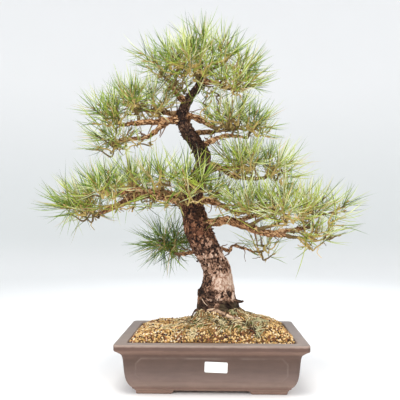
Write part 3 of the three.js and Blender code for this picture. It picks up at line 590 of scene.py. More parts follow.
# Masses of needles as in the solids: name, limb, the share of the limb's length where the stem leaves it,
# the middle of the shoots, how far they reach each way, the way they lean, and how many there are.
MASS_ROWS: list[MassRow] = [
    ("lower_left_tip", "bough_lower_left", 1, (-294, -24, 404), (38, 40, 16), (-0.7, -0.1, 0.05), 8),
    ("lower_left_front", "bough_left_front", 1, (-232, -84, 434), (32, 30, 10), (-0.3, -0.4, 0.2), 5),
    ("lower_left_middle", "bough_left_front", 0.5, (-186, -28, 452), (38, 32, 10), (-0.1, -0.1, 0.5), 6),
    ("lower_left_inner", "bough_lower_left", 0.36, (-116, -46, 456), (40, 32, 9), (0, -0.15, 0.5), 6),
    ("lower_left_heart", "bough_lower_left", 0.2, (-50, -70, 448), (32, 28, 9), (0.15, -0.3, 0.25), 5),
    ("lower_left_rear", "bough_left_back", 1, (-204, 90, 450), (50, 36, 12), (-0.2, 0.35, 0.25), 7),
    ("mid_left_tip", "bough_mid_left", 1, (-234, -16, 618), (28, 36, 12), (-0.5, -0.1, 0.2), 6),
    ("mid_left_top", "bough_mid_left", 0.75, (-190, -12, 650), (34, 38, 10), (-0.15, -0.1, 0.5), 6),
    ("mid_left_inner", "bough_mid_left", 0.45, (-138, 6, 650), (26, 34, 9), (0.05, 0, 0.6), 5),
    ("mid_left_back", "bough_mid_left_back", 1, (-188, 88, 664), (36, 34, 12), (-0.25, 0.35, 0.3), 5),
    ("mid_left_low", "bough_mid_left_low", 1, (-238, 16, 562), (22, 34, 8), (-0.6, 0.1, 0), 5),
    ("crown_left_tip", "bough_crown_left", 1, (-116, 0, 728), (22, 34, 10), (-0.3, 0, 0.3), 5),
    ("crown_left", "bough_crown_left", 0.8, (-78, -36, 736), (28, 30, 10), (-0.15, -0.25, 0.5), 6),
    ("crown_top", "trunk", 1, (-26, -4, 770), (32, 34, 8), (0, 0, 0.8), 7),
    ("crown_right_top", "trunk", 0.955, (26, -12, 752), (28, 34, 9), (0.25, -0.05, 0.6), 6),
    ("crown_right", "bough_crown_right", 1, (68, 2, 720), (26, 36, 14), (0.45, 0, 0.25), 6),
    ("crown_right_low", "bough_crown_right", 0.7, (52, -42, 680), (26, 20, 8), (0.35, -0.35, 0), 4),
    ("crown_front", "trunk", 0.91, (-40, -72, 718), (34, 24, 9), (0, -0.5, 0.2), 5),
    ("crown_back", "trunk", 0.9, (-14, 74, 738), (38, 30, 10), (0.1, 0.45, 0.3), 6),
    ("crown_back_left", "bough_crown_left", 0.55, (-92, 64, 716), (30, 28, 10), (-0.25, 0.45, 0.25), 5),
    ("upper_right_inner", "bough_upper_right", 1, (44, -12, 600), (30, 34, 9), (0.1, -0.1, 0.5), 6),
    ("upper_right_tip", "bough_upper_low", 1, (90, -2, 590), (24, 36, 10), (0.4, -0.05, 0.25), 6),
    ("upper_right_back", "bough_upper_back", 1, (62, 84, 612), (36, 32, 10), (0.2, 0.4, 0.25), 5),
    ("mid_right_inner", "bough_mid_right", 0.72, (80, -22, 494), (32, 32, 9), (0.05, -0.2, 0.45), 6),
    ("mid_right_tip", "bough_mid_right", 1, (142, -2, 488), (30, 38, 10), (0.5, 0, 0.15), 6),
    ("mid_right_back", "bough_mid_right_back", 1, (76, 94, 522), (36, 32, 10), (0.2, 0.45, 0.2), 5),
    ("lower_right_inner", "bough_inner_right", 1, (90, -28, 400), (34, 32, 9), (0, -0.15, 0.4), 6),
    ("lower_right_middle", "bough_lower_right", 0.7, (156, -22, 404), (34, 34, 12), (0.05, -0.1, 0.5), 6),
    ("lower_right_front", "bough_lower_right", 0.78, (166, -84, 380), (36, 22, 8), (0.1, -0.5, 0.25), 5),
    ("lower_right_tip", "bough_right_tip", 1, (234, 2, 388), (33, 42, 12), (0.45, 0, 0.2), 7),
    ("lower_right_under", "bough_lower_right", 1, (236, -8, 338), (24, 28, 6), (0.55, -0.1, 0), 4),
    ("lower_right_back", "bough_right_back", 1, (140, 90, 412), (42, 36, 10), (0.2, 0.4, 0.25), 6),
    ("back_left", "bough_back", 1, (-60, 152, 436), (36, 28, 10), (-0.35, 0.45, 0.2), 5),
    ("back_right", "bough_back", 0.7, (14, 130, 442), (32, 28, 10), (0.3, 0.35, 0.25), 5),
    ("low_left", "bough_low_left", 1, (-106, 90, 310), (22, 22, 12), (-0.1, 0.2, 0.2), 4),
    ("low_right", "bough_low_right", 1, (126, 52, 308), (14, 14, 4), (0.3, 0, 0.4), 2),
]


@dataclass(frozen=True)
class BarkGrain:
    """The relief of one kind of bark, in millimetres.

    Attributes:
        plate: width of a plate.
        stretch: its length along the limb, over its width.
        depth: how deep the fissures between plates are.
        lift: how far plates stand above each other.
        chip: width of the small flakes on a plate.
        chip_depth: how deep the cracks between flakes are.
        lump: height of the swellings under it all.
        lump_size: how far they are apart.
        warp: how crooked the plates are.
        healed: share of the cracks that have grown together on the smooth side of the foot.
    """

    plate: float
    stretch: float
    depth: float
    lift: float
    chip: float
    chip_depth: float
    lump: float
    lump_size: float = 46.0
    warp: float = 0.32
    healed: float = 0.0

    def relief(self, unrolled: Array, scale: Array, shift: float) -> tuple[Array, Array, Array]:
        """The bark's height over a limb.

        Args:
            unrolled: the points round the limb over its bark's size, with its length along Z.
            scale: the size of the bark at each point, next to that at the limb's foot.
            shift: moves the pattern, so that no two limbs have the same.

        Returns:
            The height in millimetres, how much of a plate's top each point is, and the plate's own tone.
        """
        rows = len(unrolled)
        height, top, tone = np.zeros(rows), np.zeros(rows), np.zeros(rows)
        for i, (x, y, z) in enumerate(unrolled):
            size = scale[i]
            spot = Vector((x, y, z / self.stretch)) / self.plate + Vector((shift, shift, shift))
            spot += self.warp * noise.noise_vector(1.7 * spot)
            near, seeds = noise.voronoi(spot)
            flake_spot = Vector((x, y, z / self.stretch)) / self.chip + Vector((shift, 0, shift))
            flakes, flake_seeds = noise.voronoi(flake_spot + self.warp * noise.noise_vector(flake_spot))
            plate = smooth_step(0.02, 0.12, near[1] - near[0])
            flake = smooth_step(0.0, 0.2, flakes[1] - flakes[0])
            if self.healed:
                calm = self.healed * smooth_step(0.1, 0.7, x / 30 - y / 30 - 0.6)
                calm *= smooth_step(108, 88, z) * smooth_step(42, 54, z)
                plate, flake = mix(plate, 1.0, calm), mix(flake, 1.0, 0.6 * calm)
            tone[i] = noise.cell(37.0 * seeds[0]) * 0.55 + noise.cell(53.0 * flake_seeds[0]) * 0.45
            if self.healed:
                tone[i] = mix(tone[i], 0.85, calm)
            lump = noise.noise(Vector((x, y, z)) / self.lump_size + Vector((shift, 0, 0)))
            height[i] = self.lump * lump + size * (
                self.depth * (plate - 1)
                + self.lift * plate * noise.cell(37.0 * seeds[0])
                + self.chip_depth * (flake - 1) * (0.4 + 0.6 * plate)
            )
            top[i] = plate * (0.8 + 0.2 * flake)
        return height, top, tone


BARK_SEED = 23
ROOT_BARK = BarkGrain(plate=14, stretch=3, depth=0.5, lift=0.5, chip=5, chip_depth=0.2, lump=0.9, lump_size=9)
TRUNK_BARK = BarkGrain(
    plate=14, stretch=1.2, depth=3.4, lift=2.4, chip=6.0, chip_depth=0.9, lump=3.2, warp=0.5, healed=0.6
)
BOUGH_BARK = BarkGrain(
    plate=8, stretch=1.8, depth=1.2, lift=1.5, chip=4.2, chip_depth=0.5, lump=2.6, lump_size=18
)


@dataclass
class Limb:
    """The trunk or a bough.

    Attributes:
        name: the CAD node's name.
        line: its centre line.
        grain: its bark.
        column: width of a face round the limb.
        ring: length of a face along it.
        most_columns: the most faces that go round it.
        collar: how much wider a bough is where it leaves its parent.
        collar_length: how far along that fades.
        flare: depth of the buttresses at the trunk's foot.
        flare_lobes: how many there are.
        flare_phase: where the first one is.
        flare_fade: height over which they fade.
        burl: how far the trunk's foot swells on its left.
        burl_turn: which way the swelling faces.
        burl_height: how high above the ground it is.
        burl_spread: how high it reaches from there.
        waist: how far the trunk draws in above it.
        waist_height: how high above the ground that is.
        waist_spread: how far it reaches from there.
        sunk: how far the trunk's skin goes on below the ground.
    """

    name: str
    line: TaperedLine
    grain: BarkGrain
    column: float = 1.5
    ring: float = 1.7
    most_columns: int = 150
    collar: float = 0.35
    collar_length: float = 14.0
    flare: float = 0.05
    flare_lobes: int = 5
    flare_phase: float = 0.6
    flare_fade: float = 22.0
    burl: float = 4.6
    burl_turn: float = 3.4
    burl_height: float = 42.0
    burl_spread: float = 20.0
    waist: float = 5.0
    waist_height: float = 94.0
    waist_spread: float = 24.0
    sunk: float = 15.0

    @property
    def is_trunk(self) -> bool:
        """Whether this is the trunk."""
        return self.name == "trunk"

    def skin(self) -> Skin:
        """The limb with its bark's relief, and values that tell the material where it is."""
        rough = self.line.at(np.linspace(0, 1, 200))
        travelled = np.concatenate([[0], np.cumsum(np.linalg.norm(np.diff(rough, axis=0), axis=1))])
        rings = int(travelled[-1] / self.ring) + 2
        lengths = np.linspace(0, travelled[-1], rings)
        shares = np.interp(lengths, travelled, np.linspace(0, 1, 200))
        sides = int(np.clip(2 * math.pi * self.line.radii.max() / self.column, 18, self.most_columns))
        centres, along = self.line.at(shares), self.line.tangent(shares)
        if self.is_trunk:
            along[0] = UP
            centres[0, 2] -= self.sunk
        angles = 2 * np.pi * np.arange(sides) / sides
        across, side = self._frames(along)
        radius = self.line.radius(shares)[:, None] * np.ones(sides)
        if self.is_trunk:
            above = (centres[:, 2] - GROUND)[:, None]
            radius *= 1 + self.flare * np.exp(-above / self.flare_fade) * np.cos(
                self.flare_lobes * angles + self.flare_phase
            )
            left = np.clip(np.cos(angles - self.burl_turn), 0, 1) ** 1.5
            bulge = np.exp(-(((above - self.burl_height) / self.burl_spread) ** 2))
            waist = np.exp(-(((above - self.waist_height) / self.waist_spread) ** 2))
            radius += left * (self.burl * bulge - self.waist * waist)
        else:
            radius *= 1 + self.collar * np.exp(-lengths / self.collar_length)[:, None]
        size = np.clip(self.line.radius(shares) / self.line.radii.max(), 0.5, 1)
        travelled = np.concatenate([[0], np.cumsum(np.diff(lengths) / size[1:])])
        unrolled = np.stack(
            [
                radius / size[:, None] * np.cos(angles),
                radius / size[:, None] * np.sin(angles),
                np.broadcast_to(travelled[:, None], radius.shape),
            ],
            -1,
        )
        shift = sum(map(ord, self.name)) * 0.73
        height, top, tone = self.grain.relief(unrolled.reshape(-1, 3), np.repeat(size, sides), shift)
        if self.is_trunk:
            top *= 1 - 0.6 * (left * bulge).ravel()
        radius = radius + height.reshape(radius.shape)
        points = (
            centres[:, None]
            + (radius * np.cos(angles))[..., None] * across[:, None]
            + (radius * np.sin(angles))[..., None] * side[:, None]
        )
        values = {
            "plate": top,
            "tone": tone,
            "rise": np.repeat(shares, sides),
        }
        return stacked_skin(points, values)

    @staticmethod
    def _frames(along: Array) -> tuple[Array, Array]:
        """Directions across the limb that turn no more than it does."""
        across = np.zeros_like(along)
        last = np.array([1.0, 0.0, 0.0])
        for i, way in enumerate(along):
            if abs(last @ way) > 0.95:
                last = np.array([0.0, 1.0, 0.0])
            last = unit(last - (last @ way) * way)
            across[i] = last
        return across, np.cross(along, across)


class RepeatableRandom:
    """The same numbers from 0 to 1 as the solids were grown with."""

    def __init__(self, seed: int) -> None:
        """Starts at a seed."""
        self.state = seed

    def draw(self) -> float:
        """The next number."""
        self.state = (self.state * 1664525 + 1013904223) % 2**32
        return self.state / 2**32

    def wobble(self) -> float:
        """The next number, from -1 to 1."""
        return 2 * self.draw() - 1


@dataclass
class Shoot:
    """A shoot, with the twig that bears it.

    Attributes:
        start: where the twig leaves its parent.
        bend: where the twig turns into line with the shoot.
        base: the foot of the shoot.
        heading: the way the shoot points.
        length: how far it goes on past its foot.
        vigour: its share of a full tuft's needles.
    """

    start: Array
    bend: Array
    base: Array
    heading: Array
    length: float
    vigour: float = 1.0

    @property
    def end(self) -> Array:
        """The shoot's tip."""
        return self.base + self.length * self.heading


@dataclass
class Mass:
    """One mass of needles, which keeps to its own space.

    Attributes:
        name: its name, without the node's first word.
        limb: the limb that bears it.
        share: where on that limb.
        hub: the middle of its shoots.
        reach: how far they stand from it each way.
        lean: the way they lean.
        count: how many the solids have.
        order: its place in the list.
        random: where the rule that grows it takes its numbers from.
        middle: the middle of its space.
        weight: how much room it takes beside its neighbours.
        stem: its stem.
        wood: its stem and twigs, for gaps to be measured from.
        shoots: its shoots.
    """

    name: str
    limb: str
    share: float
    hub: Array
    reach: Array
    lean: Array
    count: int
    order: int
    random: RepeatableRandom
    middle: Array = field(init=False)
    weight: float = field(init=False)
    stem: TaperedLine = field(init=False)
    wood: list[Capsules] = field(default_factory=list)
    shoots: list[Shoot] = field(default_factory=list)

    def __post_init__(self) -> None:
        """Works out the middle of its space and how much room it takes."""
        self.middle = self.hub + Growth.space_lift * UP + Growth.space_lean * self.lean
        self.weight = self.reach[0] * self.reach[1]

    @property
    def node(self) -> str:
        """The CAD node's name."""
        return f"needles_{self.name}"


class Growth:
    """The rule by which the solids' shoots are set out, and how wood reaches them, in millimetres."""

    turn_per_mass = 1.1
    first_seed = 101
    seed_step = 37
    jitter = 0.22
    heading_jitter = 0.6
    spread = 0.85
    lift = 0.55
    spine_drop = 10.0
    fork_share = 0.58
    stem_bend = 5.0
    stem_radius = 3.8
    fork_radius = 2.8
    spine_radius = 2.3
    stem_gap = 0.35
    stem_share_of_limb = 0.85
    stem_rings = 3
    twig_return = 0.42
    raises = (0.0, 9.0, 18.0, 28.0)
    joints = (0.5, 0.6, 0.7, 0.8, 0.9, 1.0)
    crowding = 25.0
    gap = 0.6
    twig_radius = 2.2
    shoot_radius = 4.8
    shoot_tip_radius = 4.0
    shoot_length = 28.0
    space_lift = 20.0
    space_lean = 16.0
    core_margin = 6.5
    tip_margin = 4.5
    shrink = 0.86
    tries = 5


# Shoots that the solids lack, out to the edges of the crown: foot, heading, and share of a full tuft.
OUTER_SHOOTS: dict[str, list[tuple[Spot, Spot, float]]] = {
    "lower_right_tip": [
        ((300, -6, 403), (0.8, 0, 0.6), 0.7), ((282, -30, 372), (0.9, -0.3, 0.25), 0.7),
        ((298, 20, 388), (1, 0.2, 0.35), 0.6), ((288, -10, 396), (1, 0, 0.3), 0.5),
    ],
    "lower_right_under": [((275, -10, 333), (1, 0, 0.15), 0.6), ((282, -10, 360), (1, 0, 0), 0.5)],
    "lower_left_tip": [
        ((-316, -30, 408), (-0.9, -0.2, 0), 0.7), ((-303, -40, 393), (-0.5, -0.5, -0.25), 0.5),
        ((-345, -20, 404), (-1, -0.1, 0.1), 0.6), ((-330, -20, 424), (-0.9, -0.1, 0.6), 0.5),
    ],
    "lower_left_front": [
        ((-233, -70, 403), (-0.5, -0.6, -0.1), 0.5), ((-254, -40, 398), (-0.3, -0.5, -0.5), 0.45),
        ((-216, -50, 402), (0, -0.6, -0.4), 0.45),
    ],
    "lower_left_middle": [
        ((-189, -60, 402), (-0.5, -0.6, -0.2), 0.5), ((-178, -50, 404), (0, -0.6, -0.4), 0.45),
    ],
    "lower_left_inner": [
        ((-144, -60, 402), (-0.3, -0.7, -0.2), 0.5), ((-104, -70, 405), (0.1, -0.7, -0.2), 0.5),
        ((-138, -50, 410), (0, -0.7, -0.4), 0.45),
    ],
    "mid_left_low": [
        ((-184, -10, 548), (-0.4, -0.4, -0.3), 0.4), ((-146, -10, 552), (0.2, -0.5, -0.1), 0.4),
        ((-206, -10, 546), (-0.2, -0.4, -0.2), 0.45), ((-172, -10, 556), (0.2, -0.4, 0), 0.4),
    ],
    "crown_right_top": [((25, -10, 788), (0.35, 0, 0.9), 0.7), ((49, 0, 772), (0.6, 0, 0.75), 0.6)],
    "crown_top": [((-20, -10, 800), (-0.1, 0, 1), 0.7)],
    "upper_right_inner": [
        ((-10, -40, 628), (0.3, -0.5, 0.5), 0.4), ((-14, -40, 606), (0.3, -0.6, 0.2), 0.4),
        ((-16, -30, 640), (0.2, -0.3, 0.6), 0.4),
    ],
    "upper_right_tip": [((116, -10, 590), (1, 0, 0.05), 0.6), ((112, -22, 568), (0.9, -0.2, -0.1), 0.5)],
    "mid_right_tip": [((180, -10, 474), (1, 0, 0), 0.6), ((166, -22, 458), (0.9, -0.3, -0.1), 0.5)],
    "crown_right_low": [
        ((-6, -12, 672), (-0.2, -0.4, -0.3), 0.6), ((16, 0, 664), (0, -0.4, -0.5), 0.6),
        ((30, -60, 690), (0, -0.7, 0), 0.6),
    ],
    "crown_front": [((-58, -66, 706), (-0.2, -0.6, -0.3), 0.7), ((-14, -70, 700), (0.2, -0.7, -0.2), 0.7)],
    "crown_left": [((-88, -62, 728), (-0.3, -0.6, 0), 0.6)],
    "lower_right_inner": [
        ((20, -20, 395), (0.2, -0.5, -0.4), 0.35), ((48, -20, 385), (0.3, -0.5, -0.3), 0.35),
    ],
    "crown_left_tip": [((-150, -10, 764), (-1, 0, 0.35), 0.6), ((-140, -20, 745), (-1, -0.2, 0.1), 0.5)],
    "lower_left_heart": [
        ((-100, -60, 414), (0.1, -0.7, -0.4), 0.5), ((-74, -64, 412), (0.2, -0.6, -0.5), 0.45),
    ],
    "low_left": [
        ((-138, 80, 322), (-0.9, -0.1, -0.2), 0.7), ((-118, 80, 318), (-0.5, -0.2, -0.6), 0.8),
        ((-98, 80, 318), (0, -0.3, -0.8), 0.8),
    ],
}


@dataclass
class Crown:
    """Every mass, grown on from the limbs by the solids' rule and carried on to finer twigs.

    Attributes:
        limbs: the trunk and boughs by name.
        side_shoots: how many side shoots each of the solids' shoots is given.
        side_out: how far, least and most, a side shoot stands out from its parent.
        side_room: least distance between the feet of two shoots.
        side_reach: how far from the hub a side shoot may stand, in reaches.
        side_length: length of a side shoot.
        low_share: how many shoots the ring under a mass is given, for each of the solids' shoots.
        low_drop: how far they stand below the hub.
        masses: the masses, in the list's order.
        limb_wood: the limbs by name, for gaps to be measured from.
    """

    limbs: dict[str, Limb]
    side_shoots: int = 3
    side_out: Span = (15.0, 30.0)
    side_room: float = 14.0
    side_reach: float = 1.25
    side_length: Span = (16.0, 24.0)
    low_share: float = 1.2
    low_drop: Span = (4.0, 30.0)
    masses: list[Mass] = field(default_factory=list)
    limb_wood: dict[str, Capsules] = field(init=False)

    def grow(self) -> None:
        """Grows the wood of every mass."""
        for order, (name, limb, share, hub, reach, lean, count) in enumerate(MASS_ROWS):
            random = RepeatableRandom(Growth.first_seed + Growth.seed_step * order)
            rows = (np.array(row, float) for row in (hub, reach, lean))
            self.masses.append(Mass(name, limb, share, *rows, count, order, random))
        for mass in self.masses:
            mass.stem = self._stem(mass)
            mass.wood.append(mass.stem.capsules(2 * Growth.stem_rings))
        self.limb_wood = {
            name: limb.line.capsules(4 * (len(limb.line.points) - 1)) for name, limb in self.limbs.items()
        }
        for mass in self.masses:
            self._grow_shoots(mass)
        for mass in self.masses:
            random = np.random.default_rng(900 + mass.order)
            self._grow_side_shoots(mass, random)
            self._grow_low_shoots(mass, random)
        for mass in self.masses:
            for base, heading, vigour in OUTER_SHOOTS.get(mass.name, []):
                self._grow_outer_shoot(mass, np.array(base, float), unit(np.array(heading, float)), vigour)

    def _stem(self, mass: Mass) -> TaperedLine:
        """The stem from the limb to the fork under the shoots, and on along the spine of the mass."""
        line = self.limbs[mass.limb].line
        start, along = line.at(mass.share), line.tangent(mass.share)
        radius = min(Growth.stem_radius, Growth.stem_share_of_limb * float(line.radius(mass.share)))
        if mass.share == 1:
            start = start + Growth.stem_gap * along
        spine = mass.hub - Growth.spine_drop * UP
        fork = mix(start, spine, Growth.fork_share)
        bend = mix(start, fork, 0.5)
        if mass.share == 1:
            bend = mix(bend, start + 0.5 * np.linalg.norm(fork - start) * along, 0.5)
        bend = bend + Growth.stem_bend * np.array([mass.random.wobble(), mass.random.wobble(), 0])
        return TaperedLine(
            [
                (*start, radius),
                (*bend, 0.5 * (radius + Growth.fork_radius)),
                (*fork, Growth.fork_radius),
                (*spine, Growth.spine_radius),
            ]
        )

    def room_in_space(self, mass: Mass, points: Array) -> Array:
        """How deep each point lies inside the mass's own space.

        Args:
            mass: the mass.
            points: rows of points.

        Returns:
            A distance to the space's nearest wall for each, below zero outside it.
        """
        others = [m for m in self.masses if m is not mass]
        middles = np.array([m.middle for m in others])
        weights = np.array([m.weight for m in others])
        own = ((points - mass.middle) ** 2).sum(-1) - mass.weight
        theirs = ((points[:, None] - middles) ** 2).sum(-1) - weights
        apart = np.linalg.norm(middles - mass.middle, axis=1)
        return ((theirs - own[:, None]) / (2 * apart)).min(1)

    def _place_shoots(self, mass: Mass) -> list[tuple[Array, Array]]:
        """The foot and heading of each shoot: an even dome of points, drawn in where the space ends."""
        found = []
        for k in range(mass.count):
            share = (k + 0.5) / mass.count
            ring = math.sqrt(share)
            angle = Growth.turn_per_mass * mass.order + k * GOLDEN_ANGLE
            out = np.array([ring * math.cos(angle), ring * math.sin(angle), 1 - 2 * share])
            shake = Growth.jitter * np.array([mass.random.wobble() for _ in range(3)])
            offset = (out + shake) * mass.reach
            flat = np.array([out[0], out[1], 0])
            heading = mass.lean + Growth.lift * UP + Growth.spread * flat + Growth.heading_jitter * shake
            mass.random.draw()
            base = mass.hub + offset
            for _ in range(Growth.tries):
                if self.room_in_space(mass, base[None])[0] > Growth.core_margin:
                    break
                offset = offset * Growth.shrink
                base = mass.hub + offset
            if self.room_in_space(mass, base[None])[0] > Growth.core_margin:
                found.append((base, unit(heading)))
        return found

    def wood_around(self, mass: Mass) -> Capsules:
        """All wood but the mass's own."""
        rows = list(self.limb_wood.values())
        rows += [row for other in self.masses if other is not mass for row in other.wood]
        return Capsules.joined(rows)

    def _grow_shoots(self, mass: Mass) -> None:
        """Twigs join each shoot to the nearest wood of its mass, and arrive along its own heading."""
        others = self.wood_around(mass)
        joints = [[point, 0] for point in mass.stem.at(np.array(Growth.joints))]
        fork = mass.stem.at(2 / 3)
        placed = sorted(self._place_shoots(mass), key=lambda s: float(np.linalg.norm(s[0] - fork)))
        for foot, heading in placed:
            for lift in Growth.raises:
                base = foot + lift * UP
                costs = [np.linalg.norm(base - point) + Growth.crowding * used for point, used in joints]
                joint = joints[int(np.argmin(costs))]
                start = joint[0]
                bend = base - Growth.twig_return * np.linalg.norm(base - start) * heading
                shoot = Shoot(start, bend, base, heading, Growth.shoot_length)
                room = self.room_in_space(mass, np.array([base, shoot.end]))
                near = others.clearance(np.array([start, bend]), np.array([bend, shoot.end]))
                if (
                    room[0] > Growth.core_margin
                    and room[1] > Growth.tip_margin
                    and near[0] > Growth.twig_radius + Growth.gap
                    and near[1] > Growth.shoot_radius + Growth.gap
                ):
                    self._keep(mass, shoot)
                    joint[1] += 1
                    joints.append([bend, 0])
                    break

    @staticmethod
    def _keep(mass: Mass, shoot: Shoot) -> None:
        """Adds a shoot and its wood to the mass."""
        mass.shoots.append(shoot)
        mass.wood.append(
            Capsules(
                np.array([shoot.start, shoot.bend, shoot.base]),
                np.array([shoot.bend, shoot.base, shoot.end]),
                np.array([Growth.twig_radius, Growth.twig_radius + Growth.gap, Growth.shoot_tip_radius]),
            )
        )

    def _grow_low_shoots(self, mass: Mass, random: np.random.Generator) -> None:
        """A loose ring of level shoots round the underside of a mass."""
        others = self.wood_around(mass)
        count = int(self.low_share * mass.count)
        turn = random.uniform(0, 2 * math.pi)
        for k in range(count):
            angle = turn + 2 * math.pi * (k + random.uniform(-0.3, 0.3)) / count
            out = np.array([math.cos(angle), math.sin(angle), 0])
            ring = mass.hub + mass.reach * out * random.uniform(0.7, 1.15)
            base = ring - random.uniform(*self.low_drop) * UP
            heading = unit(out + 0.6 * mass.lean + random.uniform(-0.1, 0.45) * UP)
            start = mass.stem.at(random.uniform(0.35, 0.95))
            bend = base - 0.45 * np.linalg.norm(base - start) * heading
            shoot = Shoot(start, bend, base, heading, random.uniform(*self.side_length), 0.62)
            feet = np.array([s.base for s in mass.shoots])
            if (
                self.room_in_space(mass, np.array([base, shoot.end])).min() > Growth.tip_margin
                and np.linalg.norm(feet - base, axis=1).min() > self.side_room
                and others.clearance(np.array([start, bend]), np.array([bend, shoot.end])).min() > 3
            ):
                mass.shoots.append(shoot)

    @staticmethod
    def _grow_outer_shoot(mass: Mass, base: Array, heading: Array, vigour: float) -> None:
        """A shoot at a given place, from the nearest wood of its mass."""
        joints = np.array([p for shoot in mass.shoots for p in (shoot.start, shoot.bend, shoot.base)])
        start = joints[int(np.argmin(np.linalg.norm(joints - base, axis=1)))]
        bend = base - 0.4 * np.linalg.norm(base - start) * heading
        mass.shoots.append(Shoot(start, bend, base, heading, 18.0, vigour))

    def _grow_side_shoots(self, mass: Mass, random: np.random.Generator) -> None:
        """Finer twigs that leave the solids' twigs, with a smaller shoot each, within the same reach."""
        others = self.wood_around(mass)
        for parent in list(mass.shoots):
            across = unit(np.cross(parent.heading, UP + random.normal(0, 0.3, 3)))
            side = np.cross(parent.heading, across)
            turn = random.uniform(0, 2 * math.pi)
            for k in range(self.side_shoots):
                angle = turn + k * GOLDEN_ANGLE
                out = math.cos(angle) * across + math.sin(angle) * side
                start = mix(parent.bend, parent.base, random.uniform(0.1, 0.7))
                joint = mix(parent.bend, parent.base, random.uniform(0.5, 1.0))
                base = joint + out * random.uniform(*self.side_out)
                heading = unit(0.8 * parent.heading + random.uniform(0.5, 1.1) * out + 0.12 * UP)
                bend = base - 0.4 * np.linalg.norm(base - start) * heading
                shoot = Shoot(start, bend, base, heading, random.uniform(*self.side_length), 0.62)
                away = np.linalg.norm((base - mass.hub - 0.25 * parent.length * UP) / (mass.reach + 14))
                feet = np.array([s.base for s in mass.shoots])
                if (
                    away < self.side_reach
                    and self.room_in_space(mass, np.array([base, shoot.end])).min() > Growth.tip_margin
                    and np.linalg.norm(feet - base, axis=1).min() > self.side_room
                    and others.clearance(np.array([start, bend]), np.array([bend, shoot.end])).min() > 3
                ):
                    mass.shoots.append(shoot)


class Tone(Enum):
    """The plain colours that are dealt out to needles, twigs and buds."""

    # The palest tone is a painted highlight, for needles that catch the light.
    PALE = "dfe4ae"
    LIME = "b6c64c"
    FRESH = "86a234"
    MID = "6c8834"
    # The darkest green is dealt out partly as painted shade among the needles.
    DEEP = "3f572a"
    OLIVE = "aca04a"
    GREY = "8b9f8a"
    BLUE = "587560"
    TAN = "dabf8e"
    OLD_TWIG = "6e5a38"
    YOUNG_TWIG = "b8a062"
    BUD = "a68e5c"


TONES = list(Tone)


def tone_numbers(tones: list[Tone]) -> Array:
    """The finish numbers of some tones."""
    return np.array([TONES.index(tone) for tone in tones])


@dataclass(frozen=True)
class TuftTones:
    """What tones a tuft's needles have.

    Attributes:
        weights: how often each tone turns up, against the others.
    """

    weights: dict[Tone, float]

    @classmethod
    def of(cls, **weights: float) -> "TuftTones":
        """Takes how often each tone turns up, by the tone's name."""
        return cls({Tone[name]: weight for name, weight in weights.items()})

    def deal(self, count: int, random: np.random.Generator) -> Array:
        """Tone numbers for a tuft.

        Args:
            count: how many needles there are.
            random: where the numbers come from.

        Returns:
            A finish number for each needle.
        """
        chances = np.array(list(self.weights.values()))
        drawn = random.choice(len(chances), count, p=chances / chances.sum())
        return tone_numbers(list(self.weights))[drawn]


SUNLIT = TuftTones.of(LIME=5.2, PALE=4.6, FRESH=2.6, MID=1, OLIVE=0.9, DEEP=1.3, TAN=0.7)
RIM = TuftTones.of(FRESH=4.2, MID=3.2, DEEP=1.9, LIME=2, OLIVE=0.7, PALE=0.4)
GREEN = TuftTones.of(FRESH=4, LIME=3, MID=2.5, PALE=1.6, DEEP=1, TAN=0.35)
INNER = TuftTones.of(OLIVE=3, MID=3, FRESH=2, LIME=1.5, TAN=1.4, DEEP=1)
# Greyer, paler tones for tufts at the back: painted light that washes them out.
WASHED_OUT_BACK = TuftTones.of(GREY=4.5, FRESH=2, MID=2, PALE=2, DEEP=1)
SHADED = TuftTones.of(MID=3.4, FRESH=3.6, GREY=1.2, DEEP=1.4, BLUE=0.3, TAN=0.5)
# Paler tones for the tufts on the right: painted light.
LIT_RIGHT = TuftTones.of(LIME=5, PALE=6, FRESH=2, TAN=1, OLIVE=0.7, MID=0.5, DEEP=0.7)


def tone_materials() -> list[Material]:
    """A material for each tone, in their order."""
    made = []
    for tone in TONES:
        wood = tone in (Tone.OLD_TWIG, Tone.YOUNG_TWIG, Tone.BUD)
        roughness, gloss = (0.85, 0.3) if wood else (0.45, 0.4)
        made.append(plain_finish(f"{tone.name.lower()}_tone", tone.value, roughness, gloss))
    return made


